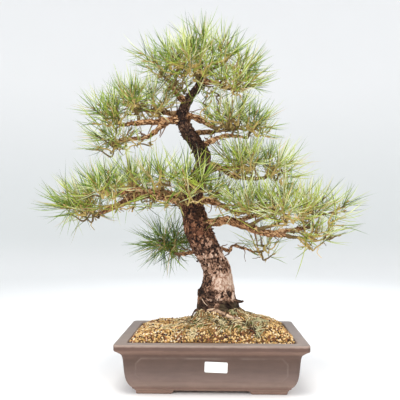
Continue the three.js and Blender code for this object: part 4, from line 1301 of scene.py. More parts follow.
@dataclass
class Needles:
    """The needles of a mass, in pairs round each shoot.

    Attributes:
        per_tuft: how many a full tuft has.
        length: the longest, in millimetres.
        shortest: the shortest, as a share of it.
        thickness: a needle's radius at its foot, its middle and its tip.
        thicknesses: the least and the most that a needle has of it.
        tilts: lowest and topmost needles' tilt away from the shoot, in degrees.
        star_tilts: the same on the low tuft behind the trunk, which spreads all round.
        scatter: how far tilts stray, in degrees.
        twist_apart: angle between the two of a pair, in degrees.
        light: how much they turn up towards the light.
        below: how steeply down a needle has to point to be thinned out.
        left_below: the share of those that is left.
        overlap: how far a needle may stray out of its mass's space.
        trims: shares of their length that needles are cut to until they fit.
        foot: how near its foot a needle may touch wood.
        middle: where the crown's middle is, from left to right.
        widest: how far from there a tip may be, each way, and above the ground.
        sparse: masses with fewer needles.
        short: beginnings of the names of masses with shorter ones.
    """

    per_tuft: int = 22
    length: float = 88.0
    shortest: float = 0.62
    thickness: Spot = (0.72, 0.7, 0.26)
    thicknesses: Span = (0.7, 1.3)
    tilts: Span = (98.0, 8.0)
    star_tilts: Span = (128.0, 8.0)
    scatter: float = 16.0
    twist_apart: float = 6.0
    light: float = 0.1
    below: float = -0.3
    left_below: float = 0.4
    overlap: float = 26.0
    trims: tuple[float, ...] = (1.0, 0.8, 0.62)
    foot: float = 16.0
    middle: float = -30.0
    widest: Spot = (404.0, 246.0, 890.0)
    sparse: tuple[str, ...] = ("low_right", "lower_right_under", "lower_right_front", "lower_right_middle")
    short: tuple[str, ...] = (
        "mid_left",
        "crown_left",
        "crown_right",
        "crown_back",
        "upper_right",
        "lower_left_front",
    )

    def skin(self, mass: Mass, crown: Crown) -> Skin:
        """Grows the mass's needles.

        Args:
            mass: the mass.
            crown: the crown, which knows what is in the way.

        Returns:
            All its needles as one skin, with a tone for each.
        """
        random = np.random.default_rng(5000 + mass.order)
        parts = [self._tuft(shoot, mass, random) for shoot in mass.shoots]
        feet, ways, lengths, tones = (np.concatenate([p[i] for p in parts]) for i in range(4))
        tips, kept = self._fit(feet, ways, lengths, mass, crown)
        feet, tips, tones = feet[kept], tips[kept], tones[kept]
        reach = np.linalg.norm(tips - feet, axis=1, keepdims=True)
        bow = random.normal(0, 0.022, (len(feet), 3)) - random.uniform(0, 0.05, (len(feet), 1)) * UP
        middles = mix(feet, tips, 0.5) + bow * reach
        paths = np.stack([feet, middles, tips], 1)
        thick = np.array(self.thickness) * random.uniform(*self.thicknesses, (len(feet), 1))
        return tubes(paths, thick, 3, True, random.uniform(0, math.pi, len(feet))).dealt(tones)

    def _tuft(self, shoot: Shoot, mass: Mass, random: np.random.Generator) -> tuple[Array, ...]:
        """Foot, direction, length and tone of each needle of one shoot."""
        star = mass.name == "low_left"
        fullness = 1.7 if star else 0.7 if mass.name in self.sparse or shoot.base[1] > 60 else 1.0
        pairs = int(self.per_tuft * shoot.vigour * fullness / 2)
        up_share = (np.arange(pairs) + random.random(pairs)) / pairs
        turn = np.arange(pairs) * GOLDEN_ANGLE + random.normal(0, 0.3, pairs)
        tilts = self.star_tilts if star else self.tilts
        tilt = mix(*tilts, up_share**0.75) + random.normal(0, self.scatter, pairs)
        up_share, turn, tilt = (np.repeat(v, 2) for v in (up_share, turn, tilt))
        count = 2 * pairs
        tilt = np.radians(np.abs(tilt + random.normal(0, self.twist_apart, count)))
        turn += random.normal(0, math.radians(self.twist_apart), count)
        across = unit(np.cross(shoot.heading, np.array([0.3, 0.9, 0.1])))
        side = np.cross(shoot.heading, across)
        out = np.cos(turn)[:, None] * across + np.sin(turn)[:, None] * side
        way = np.cos(tilt)[:, None] * shoot.heading + np.sin(tilt)[:, None] * out
        way = unit(way + (0 if star else self.light) * UP)
        foot = shoot.base + (0.05 + 0.9 * up_share)[:, None] * shoot.length * shoot.heading + 1.2 * out
        length = self.length * random.uniform(self.shortest, 1, count)
        length *= 0.84 if mass.name.startswith(self.short) else 1.0
        left_below = 1.0 if star else self.left_below * (0.2 if mass.name in self.sparse else 1.0)
        kept = (way[:, 2] > self.below) | (random.random(count) < left_below)
        tones = self._tones(shoot, mass, random).deal(count, random)
        return foot[kept], way[kept], length[kept], tones[kept]

    @staticmethod
    def _tones(shoot: Shoot, mass: Mass, random: np.random.Generator) -> TuftTones:
        """A tuft's tones by where it stands."""
        if mass.name == "low_left":
            return SHADED
        if mass.name == "low_right":
            return GREEN
        # Tufts at the back mostly take the washed-out tones, which are painted light.
        if shoot.base[1] > 45:
            return WASHED_OUT_BACK if random.random() < 0.6 else GREEN
        height = (shoot.base[2] - mass.hub[2]) / mass.reach[2]
        right = shoot.base[0] > 60 and mass.name.startswith(("mid", "lower"))
        if (height > 0.3 or mass.name.endswith("tip")) and random.random() < (0.2 if right else 0.65):
            return RIM
        # Tufts on the right mostly take the paler tones, which are painted light.
        if right and random.random() < 0.85:
            return LIT_RIGHT
        if height > -0.1 or random.random() < 0.45:
            return SUNLIT
        return GREEN if random.random() < 0.55 else INNER

    def _fit(self, feet: Array, ways: Array, lengths: Array, mass: Mass, crown: Crown) -> tuple[Array, Array]:
        """Tips that keep to the mass's space and out of the limbs, and which needles have one."""
        limbs = Capsules.joined(list(crown.limb_wood.values()))
        tips = np.zeros_like(feet)
        open_rows = np.arange(len(feet))
        found = np.zeros(len(feet), bool)
        for trim in self.trims:
            ends = feet[open_rows] + (trim * lengths[open_rows])[:, None] * ways[open_rows]
            starts = feet[open_rows] + self.foot * ways[open_rows]
            inside = (np.abs(ends - (self.middle, 0, 0)) < self.widest).all(1)
            free = (crown.room_in_space(mass, ends) > -self.overlap) & inside
            free &= limbs.clearance(starts, ends) > 1
            tips[open_rows[free]] = ends[free]
            found[open_rows[free]] = True
            open_rows = open_rows[~free]
        return tips, found


@dataclass
class Twigs:
    """The stem, twigs, shoots and buds of a mass.

    Attributes:
        steps: points along a twig.
        sides: corners round it.
        gnarl: how far it wanders, in millimetres.
        thick: its radius, over that in the solids.
        shoot_radius: radius of a shoot.
        bud_length: length of a bud.
        bud_radius: radius of a bud.
        twiglets: how many short twigs go with each shoot.
        twiglet_lengths: shortest and longest of those.
        twiglet_tones: how often each tone turns up among them.
        young: share of the twigs that are young ones.
    """

    steps: int = 13
    sides: int = 6
    gnarl: float = 2.6
    thick: float = 1.25
    shoot_radius: float = 1.6
    bud_length: float = 9.0
    bud_radius: float = 2.2
    twiglets: int = 2
    twiglet_lengths: Span = (7.0, 20.0)
    twiglet_tones: dict[Tone, float] = field(
        default_factory=lambda: {Tone.YOUNG_TWIG: 0.42, Tone.OLD_TWIG: 0.3, Tone.BUD: 0.08, Tone.TAN: 0.2}
    )
    young: float = 0.7

    def skin(self, mass: Mass) -> Skin:
        """The mass's wood as one skin.

        Args:
            mass: the mass.

        Returns:
            The wood, with a tone for each part of it.
        """
        random = np.random.default_rng(7000 + mass.order)
        skins = [self._stem(mass, random)]
        shares = np.linspace(0, 1, self.steps)
        lines = [self._line(shoot) for shoot in mass.shoots]
        paths = np.array([line.at(shares) for line in lines])
        radii = np.array([line.radius(shares) for line in lines])
        stray = self._wander(len(lines), self.steps, random)
        radii *= random.uniform(0.85, 1.25, radii.shape)
        tones = [Tone.YOUNG_TWIG if random.random() < self.young else Tone.OLD_TWIG for _ in lines]
        skins.append(tubes(paths + stray, radii, self.sides).dealt(tone_numbers(tones)))
        return Skin.joined([*skins, self._buds(mass), self._twiglets(mass, random)])

    def _twiglets(self, mass: Mass, random: np.random.Generator) -> Skin:
        """Short crooked twigs and old stubs along the others."""
        count = self.twiglets * len(mass.shoots)
        shoots = [mass.shoots[i % len(mass.shoots)] for i in range(count)]
        starts = np.array([mix(s.bend, s.base, random.uniform(-0.3, 1)) for s in shoots])
        ways = np.array([s.heading for s in shoots])
        outs = unit(0.7 * unit(np.cross(ways, random.normal(0, 1, (count, 3)))) + 0.4 * ways + (0, 0, -0.1))
        lengths = random.uniform(*self.twiglet_lengths, (count, 1, 1))
        steps = np.linspace(0, 1, 7)[None, :, None]
        curl = unit(random.normal(0, 1, (count, 3)))[:, None] * 0.8
        twist = unit(random.normal(0, 1, (count, 3)))[:, None] * 0.22
        bent = steps * outs[:, None] + steps**2 * curl + np.sin(7 * steps) * twist
        paths = starts[:, None] + lengths * bent
        radii = random.uniform(0.7, 1.25, (count, 1)) * np.linspace(1.2, 0.7, 7)
        tones = random.choice(list(self.twiglet_tones), count, p=list(self.twiglet_tones.values()))
        return tubes(paths, radii, 5).dealt(tone_numbers(tones))

    def _wander(self, count: int, steps: int, random: np.random.Generator) -> Array:
        """How far each point of some twigs strays, in soft bends that die out at both ends."""
        shares = np.linspace(0, 1, steps)[None, :, None]
        bends = sum(
            random.normal(0, self.gnarl / k**0.6, (count, 1, 3)) * np.sin(k * math.pi * shares)
            for k in (1, 2, 3, 4)
        )
        return bends * np.minimum(1, 5 * (1 - shares))

    def _line(self, shoot: Shoot) -> TaperedLine:
        """A shoot's twig and axis as one line."""
        wide = self.thick * Growth.twig_radius * (0.4 + 0.6 * shoot.vigour)
        return TaperedLine(
            [
                (*shoot.start, wide),
                (*shoot.bend, 0.9 * wide),
                (*shoot.base, self.shoot_radius),
                (*shoot.end, 0.8 * self.shoot_radius),
            ]
        )

    def _stem(self, mass: Mass, random: np.random.Generator) -> Skin:
        """The stem, with knots along it."""
        shares = np.linspace(0, 1, 26)
        path = mass.stem.at(shares)[None] + 0.6 * self._wander(1, len(shares), random)
        radius = mass.stem.radius(shares) * random.uniform(1.0, 1.45, len(shares))
        return tubes(path, radius[None], 8).painted(TONES.index(Tone.OLD_TWIG))

    def _buds(self, mass: Mass) -> Skin:
        """A bud on each shoot's tip."""
        shares = np.array([0, 0.25, 0.6, 0.85, 1.0])
        widths = self.bud_radius * np.array([0.6, 1.0, 0.85, 0.45, 0.05])
        tips = np.array([s.end for s in mass.shoots])
        ways = np.array([s.heading for s in mass.shoots])
        paths = tips[:, None] + self.bud_length * shares[None, :, None] * ways[:, None]
        return tubes(paths, widths, 6, True).painted(TONES.index(Tone.BUD))


@dataclass
class Spurs:
    """Short dead twigs and cut stubs along the boughs.

    Attributes:
        spacing: length of bough for each spur.
        lengths: shortest and longest.
        radii: thinnest and thickest.
        knob_count: how many knobs stand out of the trunk.
        knob_lengths: shortest and longest knob.
        knob_radii: thinnest and thickest.
        collar_knobs: how many more there are where the right bough leaves.
        collar_share: where along the trunk that is.
        clusters: where larger knobs crowd: height, the way they face, and how many.
        cluster_lengths: shortest and longest of these.
        cluster_radii: thinnest and thickest of them.
        scars: smooth healed patches on the trunk's front: height, the way they face, and radius.
        scar_radii: a scar's radius from inside the bark to its middle, as shares.
        scar_rise: how far a scar stands out.
    """

    clusters: tuple = (
        (382, (0.5, -0.8), 16),
        (572, (-1, -0.25), 8),
        (541, (-1, -0.25), 6),
        (567, (0.4, -0.8), 8),
        (547, (0.9, -0.4), 8),
        (346, (0.95, -0.3), 5),
    )
    cluster_lengths: Span = (5.0, 12.0)
    cluster_radii: Span = (2.4, 4.2)
    scars: tuple = ((341, (0.05, -1), 9.0), (361, (-0.3, -1), 6.0), (352, (-0.28, -1), 5.0))
    scar_radii: tuple[float, ...] = (1.0, 1.0, 0.92, 0.7, 0.4, 0.05)
    scar_rise: float = 1.3
    spacing: float = 13.0
    lengths: Span = (5.0, 24.0)
    radii: Span = (1.1, 2.6)
    knob_count: int = 130
    knob_lengths: Span = (2.5, 7.0)
    knob_radii: Span = (1.2, 3.0)
    collar_knobs: int = 16
    collar_share: float = 0.34

    def skin(self, limbs: dict[str, Limb]) -> Skin:
        """Spurs on every bough.

        Args:
            limbs: the trunk and boughs by name.

        Returns:
            The spurs as one skin.
        """
        random = np.random.default_rng(31)
        paths, radii = [], []
        for limb in limbs.values():
            if limb.is_trunk:
                continue
            rows = limb.line.points
            count = int(np.linalg.norm(np.diff(rows, axis=0), axis=1).sum() / self.spacing)
            for share in random.uniform(0.1, 0.98, count):
                centre, along = limb.line.at(share), limb.line.tangent(share)
                out = unit(np.cross(along, random.normal(0, 1, 3)))
                out = unit(out + 0.5 * along + 0.3 * UP)
                start = centre + 0.6 * float(limb.line.radius(share)) * out
                length = random.uniform(*self.lengths) + 0.4 * float(limb.line.radius(share))
                curl, twist = unit(random.normal(0, 1, 3)) * 0.9, unit(random.normal(0, 1, 3)) * 0.5
                steps = np.linspace(0, 1, 8)[:, None]
                bends = steps**2 * curl + np.sin(2 * math.pi * steps) * 0.25 * twist
                paths.append(start + length * (steps * out + bends))
                taper = random.uniform(*self.radii) * np.linspace(1, 0.45, 8)
                radii.append(taper * random.uniform(0.8, 1.2, 8))
        return tubes(np.array(paths), np.array(radii), 6)

    def knobs(self, trunk: TaperedLine) -> Skin:
        """Dark stubs and broken scales that stand out of the trunk.

        Args:
            trunk: its centre line.

        Returns:
            They as one skin.
        """
        random = np.random.default_rng(57)
        steps = np.linspace(0, 1, 5)[:, None]
        paths, radii = [], []
        even = random.uniform(0.24, 0.97, self.knob_count)
        crowded = random.normal(self.collar_share, 0.02, self.collar_knobs)
        for i, share in enumerate(np.concatenate([even, crowded])):
            centre, along = trunk.at(share), trunk.tangent(share)
            out = unit(np.cross(along, random.normal(0, 1, 3)))
            if i >= self.knob_count:
                out = unit(out + np.array([0.9, -0.7, 0]))
            start = centre + (float(trunk.radius(share)) - 1.5) * out
            way = unit(out + 0.5 * random.normal(0, 1, 3) + 0.2 * along)
            paths.append(start + random.uniform(*self.knob_lengths) * steps * way)
            radii.append(random.uniform(*self.knob_radii) * np.array([1.1, 1.0, 0.9, 0.7, 0.3]))
        for height, (x, y), count in self.clusters:
            for _ in range(count):
                share = self._share_at(trunk, height + random.normal(0, 5))
                out = unit(np.array([x, y, 0]) + random.normal(0, 0.25, 3))
                start = trunk.at(share) + (float(trunk.radius(share)) - 1.5) * out
                way = unit(out + 0.5 * random.normal(0, 1, 3))
                paths.append(start + random.uniform(*self.cluster_lengths) * steps * way)
                radii.append(random.uniform(*self.cluster_radii) * np.array([1.1, 1.0, 0.9, 0.75, 0.35]))
        return tubes(np.array(paths), np.array(radii), 6)

    @staticmethod
    def _share_at(trunk: TaperedLine, height: float) -> float:
        """Where along the trunk a height is."""
        shares = np.linspace(0, 1, 200)
        return float(np.interp(height, trunk.at(shares)[:, 2], shares))

    def scar_skin(self, trunk: TaperedLine) -> Skin:
        """Smooth patches where old wounds have healed.

        Args:
            trunk: the trunk's centre line.

        Returns:
            They as one skin.
        """
        steps = np.array([0, 0.6, 0.84, 0.94, 0.985, 1.0])[:, None]
        paths, radii = [], []
        for height, (x, y), size in self.scars:
            share = self._share_at(trunk, height)
            out = unit(np.array([x, y, 0.0]))
            start = trunk.at(share) + 0.5 * float(trunk.radius(share)) * out
            paths.append(start + (0.5 * float(trunk.radius(share)) + self.scar_rise) * steps * out)
            radii.append(size * np.array(self.scar_radii))
        return tubes(np.array(paths), np.array(radii), 16)


def bark_finish(name: str, dark: str, deep: str, middle: str, light: str, moss: float) -> Material:
    """Flaking bark.

    Args:
        name: the material's name.
        dark: the colour at the bottom of a fissure, its own darkness with painted shade.
        deep: the colour of its sides.
        middle: the colour of a plate's edge.
        light: the colour of a plate's top.
        moss: how green the foot is.

    Returns:
        The material.
    """
    paint = Paint(name)
    spot = paint.places()
    plate, tone, rise = paint.value("plate"), paint.value("tone"), paint.value("rise")
    cloud = paint.noise(spot, 90.0)
    fine = paint.noise(spot, 520.0, 4.0)
    foot = (0.05 - rise + (cloud - 0.5) * 0.04).ramp(0, 0.025) * (0.42 if moss else 0.0)
    # Darker down into the fissures: the bark's own darker fissures, with painted shade in them as well.
    level = plate * 0.76 + (tone - 0.5) * 0.42 + (fine - 0.5) * (foot + 0.5) + (cloud - 0.5) * 0.3 - foot
    base = paint.ramp(level, (0.1, dark), (0.3, deep), (0.54, middle), (0.9, light))
    rusty = paint.blend((tone * 1.4 - 0.5).ramp(0, 1) * 0.55, base, paint.blend(0.5, base, "8a5236"))
    red = paint.ramp(level, (0.1, "150c0a"), (0.38, "4a2a1b"), (0.66, "7e4e30"), (1.0, "c08c60"))
    black = paint.ramp(level, (0.1, "0e0808"), (0.4, "2e1d17"), (0.74, "5c4436"), (1.0, "ad9280"))
    place = rise + (cloud - 0.5) * 0.14
    shaded = paint.blend(place.ramp(0.24, 0.34) * (0.85 if moss else 0.0), rusty, red)
    shaded = paint.blend(place.ramp(0.38, 0.6) * (0.85 if moss else 0.0), shaded, black)
    green = (0.05 - rise + (cloud - 0.5) * 0.2).ramp(0, 0.05) * (1 - plate * 0.7) * moss
    base = paint.blend(green, shaded, "7d6c50")
    relief = fine * 0.6 + paint.grain(spot, 700.0) * 0.4
    return paint.finish(
        Base_Color=base,
        Roughness=0.95 - 0.2 * plate,
        Normal=paint.bump(relief, 0.5, 0.7),
        Specular_IOR_Level=0.25,
    )


@dataclass
class Pot:
    """The rectangular pot, in unglazed clay.

    Attributes:
        half_width: half its width over the lip.
        half_depth: half its depth over the lip.
        height: its height.
        corner: radius of the lip's corners.
        corner_smallest: the least radius of the corners further in.
        corner_tightening: how much smaller they get with each millimetre in.
        column: width of a face round it.
        corner_steps: how many points go round a corner.
        panel_half: half the width of the raised panel, and of the ones on the short sides.
        panel_levels: the panel's lower and upper edges.
        panel_cut: how much of its corners is cut off.
        panel_rise: how far it stands out.
        panel_groove: how deep the groove round it is.
        foot_half: half the width and depth over the outer faces of the feet.
        foot_size: a foot's width and depth.
        foot_height: its height.
        foot_slope: how far its inner end slopes.
        clay_bands: the clay's colours with painted light, from the table up, by share of the height.
        label_centre: the label's middle, from left to right and above the table.
        label_size: its width and height.
        label_tilt: how far it is turned, in degrees.
    """

    half_width: float = 205.0
    half_depth: float = 150.0
    height: float = 112.0
    corner: float = 9.0
    corner_smallest: float = 4.0
    corner_tightening: float = 0.1
    column: float = 2.1
    corner_steps: int = 7
    panel_half: Span = (161.0, 106.0)
    panel_levels: Span = (31.0, 83.0)
    panel_cut: float = 13.0
    panel_rise: float = 0.8
    panel_groove: float = 0.5
    foot_half: Span = (163.0, 108.0)
    foot_size: Span = (84.0, 62.0)
    foot_height: float = 8.0
    foot_slope: float = 6.0
    clay_bands: tuple[tuple[float, str], ...] = (
        (0.03, "84695c"),
        # 0.09 and 0.12: lighter, painted light on the foot's steps, which lie in shade.
        (0.09, "997e70"),
        (0.12, "80655a"),
        (0.19, "867166"),
        (0.27, "7c675e"),
        (0.34, "725f58"),
        (0.48, "604e47"),
        (0.68, "58443b"),
        (0.78, "604a41"),
        # 0.83 and 0.87: lighter, painted light under the lip, which lies in shade.
        (0.83, "7f6457"),
        (0.87, "7f6457"),
        (0.9, "5e473e"),
        (0.945, "5e473e"),
        # 0.965 and 0.985: a painted highlight along the lip's top edge.
        (0.965, "8b776d"),
        (0.985, "948176"),
        (1.0, "82746d"),
    )
    label_centre: Span = (9.7, 62.8)
    label_size: Span = (48.0, 22.4)
    label_tilt: float = -2.2

    def profile(self) -> Array:
        """The pot's section: distance in from the lip and height, from underneath, out, up and in."""
        belly = TaperedLine(
            [
                (32.6, 0, 16.8, 0),
                (30.0, 0, 19.6, 0),
                (27.2, 0, 24.0, 0),
                (24.0, 0, 31.0, 0),
                (21.6, 0, 39.5, 0),
                (19.9, 0, 50.0, 0),
                (18.5, 0, 64.0, 0),
                (17.2, 0, 77.0, 0),
                (15.6, 0, 84.0, 0),
                (14.0, 0, 87.4, 0),
            ]
        ).at(np.linspace(0, 1, 40))[:, [0, 2]]
        lip = [(12.2, 89.2), (9.0, 92.0), (5.6, 94.6), (3.0, 96.3), (1.2, 97.5), (0.2, 99.3), (0.1, 102.0)]
        edge = self._arc((2.4, 109.6), 2.4, 178, 92, 6)
        inner = self._arc((22.0, 108.9), 3.0, 90, 4, 5)
        band = [(60.0, 8.0), (39.7, 8.0), (38.8, 11.2), (35.4, 12.4), (34.8, 15.4)]
        inside = [(26.0, 104.0), (27.2, 98.0), (30.0, 60.0), (45.0, 20.0)]
        return np.array([*band, *belly, *lip, *edge, *inner, *inside])

    @staticmethod
    def _arc(centre: tuple[float, float], radius: float, start: float, end: float, steps: int) -> list:
        """Points on an arc of the section, where 180 degrees is outwards."""
        angles = np.radians(np.linspace(start, end, steps))
        return [(centre[0] + radius * math.cos(a), centre[1] + radius * math.sin(a)) for a in angles]

    def _outline(self, inset: float) -> Array:
        """The pot's outline at a distance in from the lip, as x and y, with evenly spread points."""
        radius = max(self.corner - self.corner_tightening * inset, self.corner_smallest)
        wide, deep = self.half_width - inset - radius, self.half_depth - inset - radius
        long_steps, short_steps = (int(2 * half / self.column) for half in (self.half_width, self.half_depth))
        points = []
        for quarter, (sx, sy) in enumerate([(1, 1), (-1, 1), (-1, -1), (1, -1)]):
            heart = np.array([sx * wide, sy * deep])
            angles = np.pi / 2 * (quarter + np.linspace(0, 1, self.corner_steps))
            points += [heart + radius * np.array([math.cos(a), math.sin(a)]) for a in angles]
            nxt = [(-1, 1), (-1, -1), (1, -1), (1, 1)][quarter]
            far = np.array([nxt[0] * wide, nxt[1] * deep])
            last = np.pi / 2 * (quarter + 1)
            out = radius * np.array([math.cos(last), math.sin(last)])
            steps = long_steps if quarter in (0, 2) else short_steps
            points += [mix(heart + out, far + out, t) for t in np.linspace(0, 1, steps + 1)[1:-1]]
        return np.array(points)

    def _panel(self, points: Array) -> tuple[Array, Array]:
        """How far the panels stand out at each point of the wall, and how near its edge each is, for a
        painted highlight along it.
        """
        low, high = self.panel_levels
        z = points[..., 2]
        rise, edge = np.zeros(z.shape), np.zeros(z.shape)
        for across, out, wall, half in (
            (points[..., 0], points[..., 1], self.half_depth, self.panel_half[0]),
            (points[..., 1], points[..., 0], self.half_width, self.panel_half[1]),
        ):
            sideways = np.abs(across) - half
            upright = np.abs(z - (low + high) / 2) - (high - low) / 2
            cut = (sideways + upright + self.panel_cut) / math.sqrt(2)
            inside = -np.maximum(np.maximum(sideways, upright), cut)
            on_wall = np.abs(out) > wall - 32
            raised = self.panel_rise * smooth_step(0, 2.2, inside)
            groove = self.panel_groove * np.exp(-((inside + 1.6) ** 2) / 2.5)
            rise += on_wall * (raised - groove)
            edge += on_wall * np.exp(-((inside - 2.0) ** 2) / 2.2)
        return rise, edge

    def wall_inset(self, height: float) -> float:
        """How far the outer wall is in from the lip at a height."""
        rows = self.profile()[5:45]
        return float(np.interp(height, rows[:, 1], rows[:, 0]))

    def skin(self) -> Skin:
        """The pot with its feet."""
        section = self.profile()
        rings = []
        for inset, z in section:
            flat = self._outline(inset)
            rings.append(np.column_stack([flat, np.full(len(flat), z)]))
        rings = np.array(rings)
        out = self._outline(0) - self._outline(1.0)
        outer = slice(5, 52)
        edge = np.zeros(rings.shape[:2])
        rise, edge[outer] = self._panel(rings[outer])
        rings[outer, :, :2] += rise[..., None] * unit(out)[None]
        for ring in rings[6:-4]:
            for point in ring:
                point[:2] += 0.35 * noise.noise(Vector(point) / 34) * unit(point[:2])
        skins = [stacked_skin(rings, {"edge": edge.ravel()})]
        for sx in (-1, 1):
            for sy in (-1, 1):
                skins.append(self._foot(sx, sy))
        return Skin.joined(skins)

    def _foot(self, sx: int, sy: int) -> Skin:
        """One foot, with a sloped inner end and soft lower edges."""
        (half_x, half_y), (width, depth) = self.foot_half, self.foot_size
        rings = []
        for share, soft in ((-0.2, 0), (0, 0), (0.82, 0), (0.95, 0.5), (1.0, 1.4)):
            z = self.foot_height * (1 - share)
            left = -half_x + 1.5 * max(share, 0) + soft
            right = -half_x + width - self.foot_slope * share - soft
            low, high = -half_y + soft, -half_y + depth - soft
            ring = []
            for quarter, (cx, cy) in enumerate([(right, high), (left, high), (left, low), (right, low)]):
                heart = np.array([cx, cy]) + 3 * np.array([[-1, -1], [1, -1], [1, 1], [-1, 1]][quarter])
                for a in np.pi / 2 * (quarter + np.linspace(0, 1, 4)):
                    ring.append([*(heart + 3 * np.array([math.cos(a), math.sin(a)])), z])
            rings.append(ring)
        rings = np.array(rings[::-1]) * np.array([-sx, -sy, 1])
        if sx * sy < 0:
            rings = rings[:, ::-1]
        return stacked_skin(rings, {"edge": np.zeros(rings.shape[0] * rings.shape[1])})

    def label_skin(self) -> Skin:
        """The sticker on the front, which follows the wall."""
        wide, high = self.label_size[0] / 2, self.label_size[1] / 2
        outline = []
        for quarter, (sx, sz) in enumerate([(1, 1), (-1, 1), (-1, -1), (1, -1)]):
            for a in np.pi / 2 * (quarter + np.linspace(0, 1, 6)):
                outline.append([sx * (wide - 2.5) + 2.5 * math.cos(a), sz * (high - 2.5) + 2.5 * math.sin(a)])
        outline = np.array(outline)
        tilt = math.radians(self.label_tilt)
        rings = []
        for scale, proud in ((1, -0.6), (1, 0.18), (0.988, 0.26), (0.7, 0.27), (0.4, 0.27), (0.08, 0.27)):
            u, v = (outline * scale).T
            x = self.label_centre[0] + u * math.cos(tilt) - v * math.sin(tilt)
            z = self.label_centre[1] + u * math.sin(tilt) + v * math.cos(tilt)
            wall = np.array([self.half_depth - self.wall_inset(h) for h in z])
            rings.append(np.column_stack([x, -(wall + self.panel_rise + proud), z]))
        return stacked_skin(np.array(rings))

    def finish(self) -> Material:
        """Unglazed brown clay with a mauve cast, with painted light in its height bands and a painted
        highlight along the panels' edges.
        """
        paint = Paint("unglazed_clay")
        spot = paint.places()
        cloud = paint.noise(spot, 12.0, 4.0)
        streak = paint.noise(paint.places((0.2, 0.2, 1)), 130.0, 3.0)
        mottle = paint.noise(spot, 45.0, 4.0)
        speck = paint.noise(spot, 900.0, 2.0)
        height = paint.node("ShaderNodeSeparateXYZ", {}, {"Vector": spot}, "Z")
        level = (height + (mottle - 0.5) * (3 * MM)) * (1 / (MM * self.height))
        # The bands hold painted light: a highlight on the lip's top edge, and lighter bands under the lip and
        # on the foot's steps.
        bands = paint.ramp(level, *self.clay_bands)
        base = paint.scaled(bands, 0.42 + cloud * 0.35 + streak * 0.3 + mottle * 0.25 + speck * 0.2)
        pale = (height - (self.height - 4) * MM).ramp(0, 3.5 * MM)
        edge = paint.value("edge")
        # A painted highlight along the raised panel's edge, in patches and stronger towards the top.
        panel_edge_highlight = (paint.noise(spot, 14.0) - 0.42).ramp(0, 0.25) * (height - 40 * MM).ramp(-20 * MM, 30 * MM)
        base = paint.blend(edge * panel_edge_highlight * 0.26, base, "b5a69d")
        return paint.finish(
            Base_Color=base,
            Roughness=0.56 + cloud * 0.3 - pale * 0.12,
            Normal=paint.bump(speck * 0.6 + paint.noise(spot, 260.0) * 0.4, 0.35, 0.6),
            Specular_IOR_Level=0.45,
        )

    @staticmethod
    def label_finish() -> Material:
        """White paper with a soft sheen."""
        paint = Paint("label_paper")
        fibre = paint.noise(paint.places(), 800.0)
        base = paint.blend(fibre, "f4f4f3", "ffffff")
        return paint.finish(Base_Color=base, Roughness=0.4 + fibre * 0.15, Specular_IOR_Level=0.4)

    def build(self) -> None:
        """Makes the pot and its label."""
        add_piece("clay_pot", self.skin(), [self.finish()], Slot.CLAY, ["pot"])
        add_piece("blank_label", self.label_skin(), [self.label_finish()], Slot.CLAY)


class SoilTone(Enum):
    """The plain colours that are dealt out to the grains."""

    PUMICE = "f1e6d0"
    CREAM = "e9cf9f"
    STRAW = "dbb87e"
    GOLD = "bf985a"
    AMBER = "a06c46"
    BROWN = "704838"
    DARK = "4a3128"
    BLACK = "2b201d"


